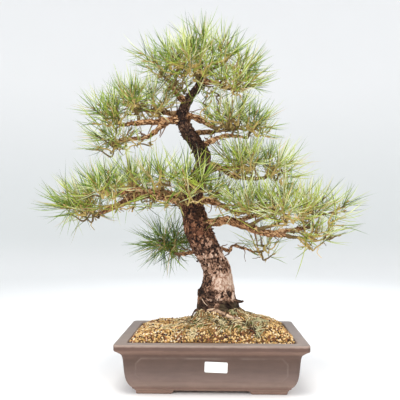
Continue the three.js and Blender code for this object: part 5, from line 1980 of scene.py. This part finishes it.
@dataclass
class Soil:
    """The mounded soil with its loose grains.

    Attributes:
        pot: the pot that it fills.
        tree: where the trunk stands.
        edge_drop: how far below the rim it meets the wall.
        plateau: radius of the level top round the trunk.
        plateau_gap: how far that is below the trunk's solid.
        shoulder: how much of the rise the round slope makes, on the whole.
        shoulder_lean: how much more that is on the right.
        step_power: how sudden the step up to the trunk is.
        wall_inset: how far in from the lip the soil ends.
        wall_corner: radius of its corners.
        grain_count: how many loose grains there are.
        grain_sizes: smallest and largest radius.
        dips: where the ground has sunk: middle and width from left to right, then from front to back, and
            depth.
    """

    pot: Pot
    tree: Span = (14.0, 10.0)
    edge_drop: float = 3.0
    plateau: float = 54.0
    plateau_gap: float = 0.3
    shoulder: float = 0.7
    shoulder_lean: float = 0.145
    step_power: float = 14.0
    wall_inset: float = 27.4
    wall_corner: float = 14.0
    dips: tuple = ((-43, 15, 17, 55, 15.0), (-90, 32, 25, 75, 14.0), (104, 30, 20, 75, 9.0))
    grain_count: int = 9200
    grain_sizes: Span = (1.5, 2.9)

    @property
    def half_sizes(self) -> Array:
        """Half the soil's width and depth."""
        return np.array([self.pot.half_width - self.wall_inset, self.pot.half_depth - self.wall_inset])

    def wall(self, angles: Array) -> Array:
        """The soil's outline at the wall, in directions from the middle of the pot."""
        way = np.stack([np.cos(angles), np.sin(angles)], -1)
        half = self.half_sizes
        reach = (half / np.maximum(np.abs(way), NOTHING)).min(-1, keepdims=True)
        point = way * reach
        heart = np.sign(way) * (half - self.wall_corner)
        beyond = (np.abs(point) > np.abs(heart)).all(-1, keepdims=True)
        return np.where(beyond, heart + self.wall_corner * unit(point - heart), point)

    def height(self, x: Array, y: Array) -> Array:
        """Height of the mound at plan points, by the solids' rule with small lumps."""
        angles = np.arctan2(y - self.tree[1], x - self.tree[0])
        tree = np.array(self.tree)
        plateau = tree + self.plateau * np.stack([np.cos(angles), np.sin(angles)], -1)
        span = np.linalg.norm(self.wall(angles) - plateau, axis=-1)
        away = np.hypot(x - tree[0], y - tree[1]) - self.plateau
        share = np.clip(1 - away / np.maximum(span, 1), 0, 1)
        low = self.pot.height - self.edge_drop
        shoulder = self.shoulder + self.shoulder_lean * np.cos(angles)
        rise = shoulder * (1 - (1 - share) ** 2) + (1 - shoulder) * share**self.step_power
        sunk = sum(
            depth * np.exp(-(((x - middle) / wide) ** 2) - ((y - centre) / deep) ** 2)
            for middle, wide, centre, deep, depth in self.dips
        )
        return low + (GROUND - self.plateau_gap - low) * rise - sunk * smooth_step(0, 0.15, share)

    def bed_skin(self) -> Skin:
        """The soil under the loose grains: top, wall and floor."""
        sides, rings = 160, 34
        angles = 2 * np.pi * np.arange(sides) / sides
        wall = self.wall(angles)
        rows = []
        for extra, z in ((12, 24.0), (3, 60.0), (0.6, 104.0)):
            inset = self.wall_inset + extra
            scale = (np.array([self.pot.half_width, self.pot.half_depth]) - inset) / self.half_sizes
            rows.append(np.column_stack([wall * scale, np.full(sides, z)]))
        for share in np.linspace(0.004, 1, rings):
            flat = mix(wall, np.array(self.tree), share)
            top = self.height(flat[:, 0], flat[:, 1]) - 1.5
            lump = [1.6 * noise.noise(Vector((x, y, 0)) / 13) for x, y in flat]
            rows.append(np.column_stack([flat, top + lump * np.array(min(1, 8 * share))]))
        rows[-1][:, :2] = np.array(self.tree) + 0.2 * np.stack([np.cos(angles), np.sin(angles)], -1)
        return stacked_skin(np.array(rows))

    def grains_skin(self) -> Skin:
        """Loose grains all over the mound."""
        random = np.random.default_rng(77)
        half = self.half_sizes
        flat = np.zeros((0, 2))
        while len(flat) < self.grain_count:
            tried = random.uniform(-1, 1, (4000, 2)) * (half - 1.5)
            angles = np.arctan2(tried[:, 1], tried[:, 0])
            within = np.linalg.norm(tried, axis=1) < np.linalg.norm(self.wall(angles), axis=1) - 2
            clear = np.linalg.norm(tried - np.array(self.tree), axis=1) > 44
            flat = np.concatenate([flat, tried[within & clear]])
        flat = flat[: self.grain_count]
        radius = mix(*self.grain_sizes, random.random(self.grain_count) ** 1.4)
        lift = random.uniform(-0.5, 0.7, self.grain_count) * radius
        middles = np.column_stack([flat, self.height(flat[:, 0], flat[:, 1]) + lift])
        return self._stones(middles, radius, random).dealt(self._tones(flat, random))

    @staticmethod
    def _tones(flat: Array, random: np.random.Generator) -> Array:
        """A tone for each grain, in drifts of lighter and darker ones."""
        tones = np.array([0.05, 0.16, 0.24, 0.2, 0.13, 0.1, 0.07, 0.05])
        drift = np.array([noise.noise(Vector((x, y, 3.0)) / 26) for x, y in flat])
        level = np.clip(random.random(len(flat)) + 0.22 * drift, 0, 0.9999)
        return np.searchsorted(np.cumsum(tones) / tones.sum(), level)

    @staticmethod
    def _stones(middles: Array, radius: Array, random: np.random.Generator) -> Skin:
        """Rough little stones, each an icosahedron pushed out of shape."""
        golden = (1 + math.sqrt(5)) / 2
        corners = []
        for a in (-1, 1):
            for b in (-golden, golden):
                corners += [(0, a, b), (a, b, 0), (b, 0, a)]
        corners = unit(np.array(corners, float))
        gaps = np.linalg.norm(corners[:, None] - corners[None], axis=-1)
        near = (gaps > 0.1) & (gaps < 1.2)
        faces = []
        for i in range(12):
            for j in range(i + 1, 12):
                for k in range(j + 1, 12):
                    if near[i, j] and near[j, k] and near[i, k]:
                        across = np.cross(corners[j] - corners[i], corners[k] - corners[i])
                        faces.append((i, k, j) if np.dot(across, corners[i]) < 0 else (i, j, k))
        faces = np.array(faces)
        count = len(middles)
        pushed = corners[None] * random.uniform(0.72, 1.18, (count, 12, 1))
        shapes = pushed * random.uniform(0.7, 1.2, (count, 1, 3))
        spin = random.normal(0, 1, (count, 4))
        w, x, y, z = unit(spin).T
        turn = np.array(
            [
                [1 - 2 * (y * y + z * z), 2 * (x * y - z * w), 2 * (x * z + y * w)],
                [2 * (x * y + z * w), 1 - 2 * (x * x + z * z), 2 * (y * z - x * w)],
                [2 * (x * z - y * w), 2 * (y * z + x * w), 1 - 2 * (x * x + y * y)],
            ]
        ).transpose(2, 0, 1)
        points = np.einsum("nij,nkj->nki", turn, shapes) * radius[:, None, None] + middles[:, None]
        every = faces[None] + 12 * np.arange(count)[:, None, None]
        return Skin(points.reshape(-1, 3), every.reshape(-1, 3), np.zeros(count * 20, np.int32))

    def bed_finish(self) -> Material:
        """Dark fine soil between the grains."""
        paint = Paint("soil_bed")
        spot = paint.places()
        grain = paint.grain(spot, 420.0)
        cloud = paint.noise(spot, 40.0)
        base = paint.ramp(grain * 0.6 + cloud * 0.5, (0.2, "2e2019"), (0.5, "5d4026"), (0.85, "94703f"))
        return paint.finish(Base_Color=base, Roughness=0.95, Normal=paint.bump(grain, 1.0))

    @staticmethod
    def grain_finishes() -> list[Material]:
        """A material for each grain tone."""
        return [plain_finish(f"{tone.name.lower()}_grain", tone.value, 0.9, 0.3) for tone in SoilTone]

    def build(self) -> None:
        """Makes the bed and the grains."""
        add_piece("soil_bed", self.bed_skin(), [self.bed_finish()], Slot.SOIL, ["soil"])
        add_piece("soil_grains", self.grains_skin(), self.grain_finishes(), Slot.SOIL, ["soil"], smooth=False)


class LitterTone(Enum):
    """The plain colours of what has fallen and grown on the mound."""

    SAGE = "b0ad85"
    MOSS = "676b34"
    STRAW = "e8d6ac"
    TAN = "9c7848"
    # The dark tone stands partly for dark fibres and partly for painted shadow in the gaps between them.
    DARK = "3d2c20"
    LEAF = "6d8c36"
    RUST = "9c5230"


@dataclass
class Litter:
    """Dry needles, root fibres and moss on the mound.

    Attributes:
        soil: the mound.
        root: the root that shows among them.
        root_margin: how far they keep from its middle.
        clumps: how many clumps they lie in.
        fibres_each: how many fibres a clump has.
        fibre_lengths: the shortest and the longest.
        blades_each: how many blades of moss a clump has.
        blade_lengths: the shortest and the longest.
        patch_middle: where most clumps are, in front of the trunk.
        patch_spread: how far they spread from there.
        loose: how many pale strands lie across them all.
    """

    soil: Soil
    root: TaperedLine
    root_margin: float = 8.0
    clumps: int = 70
    fibres_each: int = 30
    fibre_lengths: Span = (9.0, 36.0)
    blades_each: int = 46
    blade_lengths: Span = (2.0, 8.0)
    patch_middle: Span = (42.0, -48.0)
    patch_spread: Span = (52.0, 30.0)
    loose: int = 170

    def _clump_spots(self, random: np.random.Generator) -> Array:
        """Plan points of the clumps, in front of the trunk and round its foot."""
        tree = np.array(self.soil.tree)
        around = random.uniform(0, 2 * math.pi, self.clumps)
        away = 50 + random.exponential(14, self.clumps)
        ring = tree + away[:, None] * np.stack([np.cos(around), np.sin(around)], -1)
        patch = np.array(self.patch_middle) + random.normal(0, 1, (self.clumps, 2)) * self.patch_spread
        return self._clear(np.where(random.random((self.clumps, 1)) < 0.62, patch, ring), 14)

    def _clear(self, flat: Array, margin: float) -> Array:
        """Plan points drawn in from the wall and out from the trunk."""
        half = self.soil.half_sizes - margin
        tree = np.array(self.soil.tree)
        from_tree = np.clip(flat, -half, half) - tree
        gap = np.linalg.norm(from_tree, axis=1, keepdims=True)
        return tree + from_tree * np.maximum(1, 47 / np.maximum(gap, 1))

    def _laid(
        self, flat: Array, angle: Array, length: Array, lift: Array, random: np.random.Generator
    ) -> Array:
        """Paths of strands that lie on the mound, bent a little and arched.

        Args:
            flat: plan points of their first ends.
            angle: the ways they run.
            length: how long they are.
            lift: how high their middles arch.
            random: where the bends come from.

        Returns:
            Six points for each.
        """
        shares = np.linspace(0, 1, 6)
        turned = angle[:, None] + random.normal(0, 0.45, (len(flat), 1)) * shares
        x = flat[:, :1] + length[:, None] * shares * np.cos(turned)
        y = flat[:, 1:] + length[:, None] * shares * np.sin(turned)
        half = self.soil.half_sizes - 3
        x, y = np.clip(x, -half[0], half[0]), np.clip(y, -half[1], half[1])
        arch = 4 * shares * (1 - shares)
        z = self.soil.height(x.ravel(), y.ravel()).reshape(x.shape) + lift[:, None] * arch + 1.5
        return np.stack([x, y, z], -1)

    def _dealt(self, paths: Array, radii: Array, sides: int, tones: Array) -> Skin:
        """Strands as one skin with a tone for each, without those that hide the root."""
        root = self.root.at(np.linspace(0, 1, 30))[:, :2]
        gaps = np.linalg.norm(paths[:, :, None, :2] - root, axis=-1).min((1, 2))
        kept = gaps > self.root_margin
        paths, tones = paths[kept], tones[kept]
        widths = np.broadcast_to(radii, (len(kept), paths.shape[1]))[kept]
        return tubes(paths, widths, sides, True).dealt(tones)

    def fibres_skin(self) -> Skin:
        """Fans of dry fibres, a fan to a clump, and loose pale strands over them."""
        random = np.random.default_rng(404)
        spots = self._clump_spots(random)
        count = self.clumps * self.fibres_each
        flat = np.repeat(spots, self.fibres_each, 0) + random.normal(0, 3.0, (count, 2))
        fan = np.repeat(random.uniform(0, 2 * math.pi, self.clumps), self.fibres_each)
        angle = fan + random.normal(0, 0.8, count)
        length = mix(*self.fibre_lengths, random.random(count) ** 1.6)
        paths = self._laid(flat, angle, length, random.uniform(0.5, 5.0, count), random)
        radii = random.uniform(0.35, 1.05, (count, 1)) * np.array([1, 1, 1, 0.9, 0.7, 0.3])
        # The fifth tone, the dark one, is painted shadow in the gaps as well as dark fibres.
        own = random.choice(7, self.clumps, p=[0.2, 0.1, 0.15, 0.2, 0.26, 0.03, 0.06])
        mixed = random.choice(7, count, p=[0.12, 0.05, 0.28, 0.24, 0.26, 0.0, 0.05])
        tones = np.where(random.random(count) < 0.55, np.repeat(own, self.fibres_each), mixed)
        skins = [self._dealt(paths, radii, 3, tones)]
        half = self.soil.half_sizes - 20
        flat = self._clear(random.uniform(-1, 1, (self.loose, 2)) * half * (0.8, 0.8), 20)
        length = random.uniform(22, 62, self.loose)
        angle = random.uniform(0, 2 * math.pi, self.loose)
        paths = self._laid(flat, angle, length, random.uniform(0.5, 4.0, self.loose), random)
        radii = random.uniform(0.6, 1.3, (self.loose, 1)) * np.array([0.8, 1, 1, 0.9, 0.8, 0.5])
        skins.append(self._dealt(paths, radii, 3, random.choice([2, 2, 3, 0], self.loose)))
        return Skin.joined(skins)

    def moss_skin(self) -> Skin:
        """Short blades, a tuft to a clump."""
        random = np.random.default_rng(404)
        spots = self._clump_spots(random)
        count = self.clumps * self.blades_each
        spread = np.repeat(random.uniform(2.5, 6.5, self.clumps), self.blades_each)[:, None]
        strayed = random.normal(0, 1, (count, 2)) * spread
        flat = self._clear(np.repeat(spots, self.blades_each, 0) + strayed, 6)
        foot = np.column_stack([flat, self.soil.height(flat[:, 0], flat[:, 1]) + 0.5])
        way = unit(np.column_stack([random.normal(0, 0.6, (count, 2)), np.ones(count)]))
        length = random.uniform(*self.blade_lengths, count)[:, None]
        middle = foot + 0.5 * length * way
        tip = foot + length * unit(way + random.normal(0, 0.35, (count, 3)))
        own = random.choice(6, self.clumps, p=[0.4, 0.26, 0.12, 0.1, 0.04, 0.08])
        paths = np.stack([foot, middle, tip], 1)
        return self._dealt(paths, np.array([0.5, 0.55, 0.12]), 3, np.repeat(own, self.blades_each))

    def build(self) -> None:
        """Makes the fibres and the moss."""
        finishes = [plain_finish(f"{tone.name.lower()}_litter", tone.value, 0.85, 0.3) for tone in LitterTone]
        add_piece("fallen_fibres", self.fibres_skin(), finishes, Slot.SOIL)
        add_piece("moss_tufts", self.moss_skin(), finishes, Slot.SOIL)


@dataclass
class Roots:
    """Roots and stubs that show at the trunk's foot.

    Attributes:
        soil: the soil that they lie on.
        front: plan points of the pale root that runs to the right, with its radius at each.
        rise: how far its middle lies above the ground, in radii.
        strands: how many fine strands wind round the trunk's foot.
        pale_strands: bolder ones: radius, paleness, and the way round and the height of each point.
    """

    soil: Soil
    front: tuple = ((-10, -30, 4), (8, -38, 5.5), (30, -46, 5), (50, -51, 3.6), (68, -53, 2.2))
    rise: float = 0.6
    strands: int = 60
    pale_strands: tuple = (
        (2.1, 0.45, ((4.0, 52), (4.15, 42), (4.35, 32), (4.6, 26), (4.85, 24), (5.1, 27))),
        (1.0, 0.9, ((3.8, 29), (3.95, 23), (4.08, 18), (4.22, 14))),
        (1.6, 0.4, ((3.4, 40), (3.6, 34), (3.75, 24), (3.8, 14), (3.75, 5))),
        (1.8, 0.45, ((5.2, 24), (5.35, 16), (5.5, 6))),
    )

    def front_line(self) -> TaperedLine:
        """The middle of the pale root that runs over the mound to the right."""
        rows = []
        for x, y, radius in self.front:
            z = float(self.soil.height(np.array([float(x)]), np.array([float(y)]))[0])
            rows.append((x, y, z + self.rise * radius, radius))
        return TaperedLine(rows)

    def front_skin(self) -> Skin:
        """That root's skin."""
        return Limb("root_front", self.front_line(), ROOT_BARK, collar=0.0).skin()

    def strand_skins(self, trunk: TaperedLine) -> list[Skin]:
        """Fine roots and bark strands that wind round the left of the trunk's foot.

        Args:
            trunk: the trunk's centre line.

        Returns:
            A skin for each.
        """
        random = np.random.default_rng(77)
        foot_shares = np.linspace(0, 0.3, 60)
        paths, radii = [], []
        for _ in range(self.strands):
            first, rise = random.uniform(2.5, 4.5), random.triangular(4, 26, 60)
            turn, drop = random.uniform(0.5, 1.3), random.uniform(0, 34)
            steps = np.linspace(0, 1, 12)
            angle = first + turn * steps + random.normal(0, 0.05, 12)
            heights = np.maximum(GROUND + rise - drop * steps + random.normal(0, 1.2, 12), GROUND - 4)
            shares = np.interp(heights, trunk.at(foot_shares)[:, 2], foot_shares)
            centre, wide = trunk.at(shares), trunk.radius(shares)
            bulge = Limb.burl * np.exp(-(((heights - GROUND - Limb.burl_height) / Limb.burl_spread) ** 2))
            bulge *= np.clip(np.cos(angle - Limb.burl_turn), 0, 1) ** 1.5
            reach = wide + bulge + random.uniform(-2.8, 0.2)
            across = np.stack([np.cos(angle), np.sin(angle)], -1) * reach[:, None]
            paths.append(np.column_stack([centre[:, :2] + across, heights]))
            radii.append(random.uniform(0.8, 1.8) * np.linspace(1.1, 0.6, 12))
        for size, _, rows in self.pale_strands:
            angle, height = np.array(rows).T
            shares = np.interp(height + GROUND, trunk.at(foot_shares)[:, 2], foot_shares)
            across = np.stack([np.cos(angle), np.sin(angle)], -1) * (trunk.radius(shares) + 2.4)[:, None]
            middle = np.column_stack([trunk.at(shares)[:, :2] + across, height + GROUND])
            paths.append(TaperedLine([(*p, size) for p in middle]).at(np.linspace(0, 1, 16)))
            radii.append(size * np.linspace(1.0, 0.6, 16))
        made = [tubes(p[None], r[None], 6) for p, r in zip(paths, radii)]
        for i, skin in enumerate(made):
            pale = self.pale_strands[i - self.strands][1] if i >= self.strands else 0.0
            rows = len(skin.points)
            skin.finish = np.full(len(skin.faces), int(pale > 0.5), np.int32)
            skin.values = {
                "plate": np.full(rows, pale or random.uniform(0.0, 0.75)),
                "tone": np.full(rows, 0.5),
                "rise": np.full(rows, 0.2),
            }
        return made

    def stub_skins(self) -> list[Skin]:
        """The dark stubs left and right of the trunk."""
        lines = [
            [(-28, -10, 162, 3.4), (-37, -13, 164, 2.8), (-43, -17, 157, 2.0), (-47.5, -20, 147, 1.3)],
            [(44, 2, 188, 6), (58, 0, 184, 4.6), (68, -2, 182, 3.6), (74, -3, 184, 2.2)],
        ]
        stubs = [TaperedLine(rows) for rows in lines]
        return [Limb(f"stub_{i}", stub, ROOT_BARK, collar=0.0).skin() for i, stub in enumerate(stubs)]


@dataclass
class Studio:
    """Floor, light and camera.

    Attributes:
        camera_place: where the camera stands.
        camera_turn: how far it is turned to the left, in degrees.
        camera_rise: how far it looks up, in degrees.
        focal_pixels: focal length in pixels of the picture.
        picture_pixels: width of the picture.
        sensor: width of the camera's sensor, in millimetres.
        floor_radius: how far out the floor is level, in metres.
        wall_radius: how far out the wall stands.
        wall_height: how high it goes.
    """

    camera_place: Spot = (10.0, -1294.0, 357.0)
    camera_turn: float = 1.67
    camera_rise: float = 2.79
    focal_pixels: float = 547.6
    picture_pixels: float = 400.0
    sensor: float = 36.0
    floor_radius: float = 2.6
    wall_radius: float = 4.4
    wall_height: float = 4.0

    def build(self) -> None:
        """Makes the studio."""
        self._floor()
        self._lights()
        self._camera()

    def _floor(self) -> None:
        """A pale floor that sweeps up into a wall all round, with painted shade over the far floor and the
        wall's lower part.
        """
        sides, steps = 96, 24
        rows = [(r, 0.0) for r in (0.001, 0.6, *np.linspace(1.0, self.floor_radius, 9))]
        for t in np.linspace(0, math.pi / 2, steps)[1:]:
            r = self.floor_radius + (self.wall_radius - self.floor_radius) * math.sin(t)
            rows.append((r, (self.wall_radius - self.floor_radius) * (1 - math.cos(t))))
        rows.append((self.wall_radius, self.wall_height))
        angles = 2 * np.pi * np.arange(sides) / sides
        points = np.array([[(r * math.cos(a), r * math.sin(a), z) for a in angles] for r, z in rows])
        mesh = bpy.data.meshes.new("floor")
        faces = grid_faces(len(rows), sides)
        mesh.from_pydata(points.reshape(-1, 3).tolist(), [], faces.tolist())
        mesh.polygons.foreach_set("use_smooth", np.full(len(faces), True))
        # The far value is painted shade: darker over the far floor and the wall's foot, fading out up the
        # wall.
        far = mesh.attributes.new("far", "FLOAT", "POINT")
        shades = [
            0.5 * smooth_step(0.9, 2.3, r) + 0.5 * smooth_step(0, 0.3, z) - 0.95 * smooth_step(0.3, 2.2, z)
            for r, z in rows
        ]
        far.data.foreach_set("value", np.repeat(shades, sides).astype(np.float32))
        paint = Paint("pale_floor")
        base = paint.blend(paint.value("far"), "f5f5f6", "dfe2e2")
        mesh.materials.append(paint.finish(Base_Color=base, Roughness=0.8, Specular_IOR_Level=0.2))
        floor = bpy.data.objects.new("floor", mesh)
        bpy.context.scene.collection.objects.link(floor)
        floor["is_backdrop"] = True

    @staticmethod
    def _light(name: str, place: tuple, target: tuple, size: float, power: float, tint: str) -> None:
        """One soft square light."""
        data = bpy.data.lights.new(name, "AREA")
        data.shape = "SQUARE"
        data.size = size
        data.energy = power
        data.color = colour(tint)[:3]
        lamp = bpy.data.objects.new(name, data)
        lamp.location = place
        lamp.rotation_euler = (Vector(target) - Vector(place)).to_track_quat("-Z", "Y").to_euler()
        bpy.context.scene.collection.objects.link(lamp)

    def _lights(self) -> None:
        """Soft light from above and in front, with a bright surround."""
        middle = (0.0, 0.0, 0.45)
        self._light("overhead", (-0.2, -1.0, 2.6), middle, 1.2, 38.0, "fffaf2")
        self._light("front_left", (-1.9, -2.0, 1.2), middle, 1.3, 27.0, "fbfdff")
        self._light("front_right", (1.3, -2.3, 1.6), middle, 1.1, 29.0, "fffdf8")
        self._light("behind", (0.4, 2.0, 1.7), middle, 1.6, 12.0, "f3f8ff")
        world = bpy.data.worlds.new("studio")
        world.use_nodes = True
        world.node_tree.nodes["Background"].inputs["Color"].default_value = colour("f1f3f6")
        world.node_tree.nodes["Background"].inputs["Strength"].default_value = 0.95
        bpy.context.scene.world = world
        bpy.context.scene.view_settings.view_transform = "Standard"

    def _camera(self) -> None:
        """The camera at the photograph's viewing angle."""
        data = bpy.data.cameras.new("camera")
        data.sensor_width = self.sensor
        data.lens = self.focal_pixels * self.sensor / self.picture_pixels
        camera = bpy.data.objects.new("camera", data)
        camera.location = ORIGIN + MM * np.array(self.camera_place)
        turn, rise = math.radians(self.camera_turn), math.radians(self.camera_rise)
        camera.rotation_euler = (math.pi / 2 + rise, 0, turn)
        bpy.context.scene.collection.objects.link(camera)
        bpy.context.scene.camera = camera


def build_limbs() -> dict[str, Limb]:
    """The trunk and boughs by name, each with its bark's relief."""
    limbs = {}
    for name, rows in LIMB_ROWS.items():
        grain = TRUNK_BARK if name == "trunk" else BOUGH_BARK
        limbs[name] = Limb(name, TaperedLine(rows), grain)
    trunk_finish = bark_finish("trunk_bark", "1f1410", "553a2b", "987560", "dcc8b8", 0.5)
    bough_finish = bark_finish("bough_bark_flakes", "3a2417", "855b3c", "b88a60", "e6c8a0", 0.0)
    for name, limb in limbs.items():
        slot = Slot.BARK if limb.is_trunk else Slot.BOUGH
        finish = trunk_finish if limb.is_trunk else bough_finish
        add_piece(f"{name}_bark", limb.skin(), [finish], slot, [name])
    spurs = Spurs().skin(limbs)
    old = plain_finish("spur_bark", "7a5c45", 0.9, 0.25)
    add_piece("bare_spurs", spurs, [old], Slot.BOUGH)
    scab = plain_finish("knob_bark", "3b261b", 0.9, 0.25)
    add_piece("trunk_knobs", Spurs().knobs(limbs["trunk"].line), [scab], Slot.BARK)
    healed = Paint("healed_bark")
    cloud = healed.noise(healed.places(), 620.0)
    patchy = healed.ramp(cloud, (0.3, "35190f"), (0.5, "643b27"), (0.7, "96674a"))
    smooth = healed.finish(Base_Color=patchy, Roughness=0.7, Specular_IOR_Level=0.3)
    add_piece("trunk_scars", Spurs().scar_skin(limbs["trunk"].line), [smooth], Slot.BARK)
    return limbs


def build_crown(limbs: dict[str, Limb]) -> None:
    """Grows the twigs and needles of every mass."""
    crown = Crown(limbs)
    crown.grow()
    finishes = tone_materials()
    needles, twigs = Needles(), Twigs()
    tufts = sum(len(mass.shoots) for mass in crown.masses)
    log.info("%d tufts, %d of them as in the solids", tufts, sum(len(m.wood) - 1 for m in crown.masses))
    for mass in crown.masses:
        add_piece(f"twigs_{mass.name}", twigs.skin(mass), finishes, Slot.BOUGH, [mass.node])
        add_piece(f"sprays_{mass.name}", needles.skin(mass, crown), finishes, Slot.NEEDLES, [mass.node])


def build_foot(roots: Roots, trunk: TaperedLine) -> None:
    """Makes the roots and stubs at the trunk's foot."""
    pale = bark_finish("root_bark", "5c463a", "93765f", "c4a88e", "e2ccb4", 0.0)
    add_piece("front_root", roots.front_skin(), [pale], Slot.BARK, ["root_front"])
    dark = bark_finish("stub_bark", "1f1716", "34261f", "5a4336", "7d6350", 0.0)
    skins = roots.stub_skins() + roots.strand_skins(trunk)
    add_piece("foot_stubs", Skin.joined(skins), [dark, pale], Slot.BARK)


def write_sizes() -> None:
    """Works out the CAD model's box and this model's box."""
    rows = {"cad": cad_bounds, "visual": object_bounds()}
    plain = {name: [list(corner) for corner in box] for name, box in rows.items()}


def main() -> None:
    """Builds the pot, the soil and the tree, and then the studio."""
    logging.basicConfig(level=logging.INFO, format="%(message)s")
    # Without a seed, noise_vector takes its offsets from the clock.
    noise.seed_set(BARK_SEED)
    pot = Pot()
    pot.build()
    soil = Soil(pot)
    soil.build()
    roots = Roots(soil)
    Litter(soil, roots.front_line()).build()
    limbs = build_limbs()
    build_foot(roots, limbs["trunk"].line)
    build_crown(limbs)
    Studio().build()
    write_sizes()


if __name__ == "__main__":
    main()
